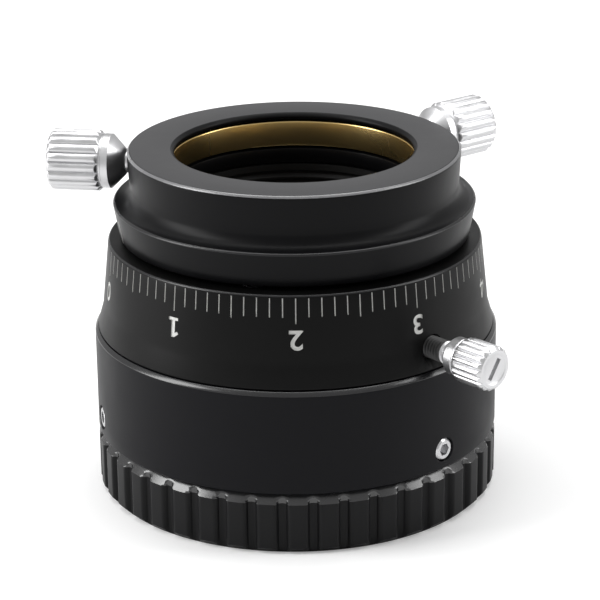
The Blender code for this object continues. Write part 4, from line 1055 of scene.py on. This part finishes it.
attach(head_screw, "draw")


# Compression ring: split brass band, loose in the holder's groove. The thumbscrews press
# it on the barrel, so that the barrel isn't marked. Its ends are rounded over.
BAND_BORE = 16.1 * MM
BAND_RADIUS = 17.3 * MM
BAND_HALF = 1.8 * MM
BAND_SLIT = math.radians(8.0)
BAND_SLIT_ANGLE = math.radians(-76.5)
BAND_STEPS = 200

brass_finish = bare_metal("brass_finish", (0.73, 0.53, 0.22), 0.27)
band = bmesh.new()
band_section = [(BAND_BORE, CLAMP_HEIGHT - BAND_HALF), (BAND_RADIUS, CLAMP_HEIGHT - BAND_HALF),
                (BAND_RADIUS, CLAMP_HEIGHT + BAND_HALF), (BAND_BORE, CLAMP_HEIGHT + BAND_HALF)]
sweep(band, band_section, BAND_SLIT_ANGLE + BAND_SLIT / 2, math.tau - BAND_SLIT, BAND_STEPS)
bmesh.ops.recalc_face_normals(band, faces=band.faces)
ease_edges(band, 0.2 * MM, segments=3)
brass_band = made(band, "brass_band", brass_finish)
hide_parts("compression_ring")
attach(brass_band, "draw")


# Thumbscrews: bright-plated steel, turned with a cone and a smooth shoulder under a straight-
# knurled knob; the thread of the shank is painted near black, as painted shade and painted
# reflection of the dark parts round it. Two clamp the eyepiece; a smaller, slotted one locks the drum.
SHANK_RADIUS = 1.5 * MM
CLAMP_STANDOFF = 0.5 * MM
CLAMP_KNOB = (1.9 * MM, 1.4 * MM, 4.15 * MM, 7.1 * MM)     # cone, shoulder, radius, knob
LOCK_STANDOFF = 3.2 * MM
LOCK_TIP_GAP = 0.3 * MM
LOCK_KNOB = (0.8 * MM, 1.6 * MM, 2.95 * MM, 5.25 * MM)
LOCK_SLOT = (3.0 * MM, 0.7 * MM, 1.4 * MM)
LOCK_SLOT_ANGLE = math.radians(-34.0)
KNOB_CHAMFER = 0.45 * MM
KNOB_SHARP = 40.0           # degrees above which the knob's edges stay crisp
SHOULDER_STEP = 0.45 * MM
DISH_RIM = 0.9 * MM
DISH_SLOPE = 0.2 * MM
DISH_DEPTH = 0.10 * MM
BRIGHT_COLLAR = 0.9 * MM
KNURL_RIDGES = 18
KNURL_COLUMNS = 12
KNURL_DEPTH = 0.42 * MM
TIP_LENGTH = 1.2 * MM


def knurl_radius(angle, outer):
    """Rounded straight ridges with narrow valleys between them."""
    phase = (angle * KNURL_RIDGES / math.tau) % 1.0
    return outer - KNURL_DEPTH * (1 - abs(math.sin(math.pi * phase)) ** 0.6)


knob_steel = bright_metal("knob_steel", (0.70, 0.70, 0.71), 0.33, 0.0006 * MM)
# Near-black steel for the shank's thread: painted shade and painted reflection of the black parts round
# it.
shaded_thread_steel = bright_metal("shaded_thread_steel", (0.07, 0.07, 0.07), 0.48, 0.0008 * MM)


def thumbscrew(name, place, shank, knob_sizes):
    """Screw from its tip at local zero: threaded shank, cone, smooth shoulder, dished knob."""
    cone_length, shoulder_length, outer, knob_length = knob_sizes
    cone_end = shank + cone_length
    knob = cone_end + shoulder_length
    end = knob + knob_length
    shoulder = outer - SHOULDER_STEP
    dish = outer - DISH_RIM
    points = [
        (0.0, end - DISH_DEPTH),
        *line((dish - DISH_SLOPE, end - DISH_DEPTH), (dish, end), 2),
        *line((dish, end), (outer - KNOB_CHAMFER, end), 2),
        *line((outer - KNOB_CHAMFER, end), (outer, end - KNOB_CHAMFER), 5),
        *line((outer, end - KNOB_CHAMFER), (outer, knob + KNOB_CHAMFER), 5),
        *line((outer, knob + KNOB_CHAMFER), (outer - KNOB_CHAMFER, knob), 5),
        (shoulder - 0.15 * MM, knob),
        (shoulder - 0.15 * MM, knob - 0.2 * MM),
        (shoulder, knob - 0.3 * MM),
        *line((shoulder, cone_end + 0.15 * MM), (shoulder - 0.15 * MM, cone_end), 3),
        *line((shoulder - 0.15 * MM, cone_end), (SHANK_RADIUS + 0.1 * MM, shank), 8),
        (SHANK_RADIUS, shank),
        *thread_teeth(SHANK_RADIUS, SHANK_RADIUS - 0.24 * MM, shank - 0.2 * MM, 0.3 * MM, M3_PITCH),
        (SHANK_RADIUS - 0.25 * MM, 0.0),
        (0.0, 0.0),
    ]
    form = spun(points, KNURL_RIDGES * KNURL_COLUMNS, False)
    trim_rim(form, lambda angle: knurl_radius(angle, outer))
    # Faces of the shank's thread away from the collar take the painted shade steel.
    for face in form.faces:
        middle = face.calc_center_median()
        if middle.z < shank - BRIGHT_COLLAR and math.hypot(middle.x, middle.y) < SHANK_RADIUS:
            face.material_index = THREAD
    mark_along(form)
    bmesh.ops.transform(form, matrix=place, verts=form.verts)
    return made(form, name, knob_steel, shaded_thread_steel, sharp=KNOB_SHARP), end


for number, angle in enumerate(CLAMP_ANGLES, 1):
    clamp_shank = HEAD_RADIUS + CLAMP_STANDOFF - CLAMP_GROOVE_RADIUS - TIP_LENGTH
    clamp_place = outward(angle, CLAMP_GROOVE_RADIUS + TIP_LENGTH, CLAMP_HEIGHT)
    thumb, _ = thumbscrew(f"clamp_thumbscrew_{number}", clamp_place, clamp_shank, CLAMP_KNOB)
    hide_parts(f"clamp_screw_{number}")
    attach(thumb, f"clamp_knob_{number}")

lock_seat = NECK_RADIUS + LOCK_TIP_GAP
lock_shank = drum_radius(LOCK_HEIGHT) + LOCK_STANDOFF - lock_seat - TIP_LENGTH
lock_place = outward(LOCK_ANGLE, lock_seat + TIP_LENGTH, LOCK_HEIGHT)
lock_thumb, lock_end = thumbscrew("lock_thumbscrew", lock_place, lock_shank, LOCK_KNOB)
slot = bmesh.new()
slot_place = (lock_place @ Matrix.Translation((0.0, 0.0, lock_end))
              @ Matrix.Rotation(LOCK_SLOT_ANGLE, 4, "Z"))
bmesh.ops.create_cube(slot, size=1.0, matrix=slot_place @ Matrix.Diagonal((*LOCK_SLOT, 1.0)))
carve(lock_thumb, slot, sharp=KNOB_SHARP)
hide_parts("lock_screw")
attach(lock_thumb, "lock_knob")


# Inner pieces that keep their plain turned shape: the nut, its rings and washers, the
# pin and the screws of the guide ring, and the brass tips of the thumbscrews.
def washer_plastic(name, colour):
    """Waxy sliding plastic, a little cloudy."""
    material, tree, shader, place = new_material(name)
    cloud = noise_node(tree, place, 600.0, 2.0)
    dark = tuple(channel * 0.9 for channel in colour)
    tree.links.new(ramp(tree, cloud, dark, colour), shader.inputs["Base Color"])
    tree.links.new(spread(tree, cloud, 0.5, 0.62), shader.inputs["Roughness"])
    return material


spring_finish = bare_metal("spring_finish", (0.45, 0.46, 0.48), 0.3)
waxy_white = washer_plastic("waxy_white", (0.82, 0.81, 0.77))
INNER_FINISHES = {
    turned_aluminium: ("helicoid_nut", "retaining_ring"),
    spring_finish: ("wave_washer", "stop_pin", "guide_screw_1", "guide_screw_2", "guide_screw_3"),
    waxy_white: ("thrust_washer",),
    brass_finish: ("lock_tip", "clamp_tip_1", "clamp_tip_2"),
}
for material, nodes in INNER_FINISHES.items():
    for node in nodes:
        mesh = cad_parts[node].data
        mesh.materials.clear()
        mesh.materials.append(material)
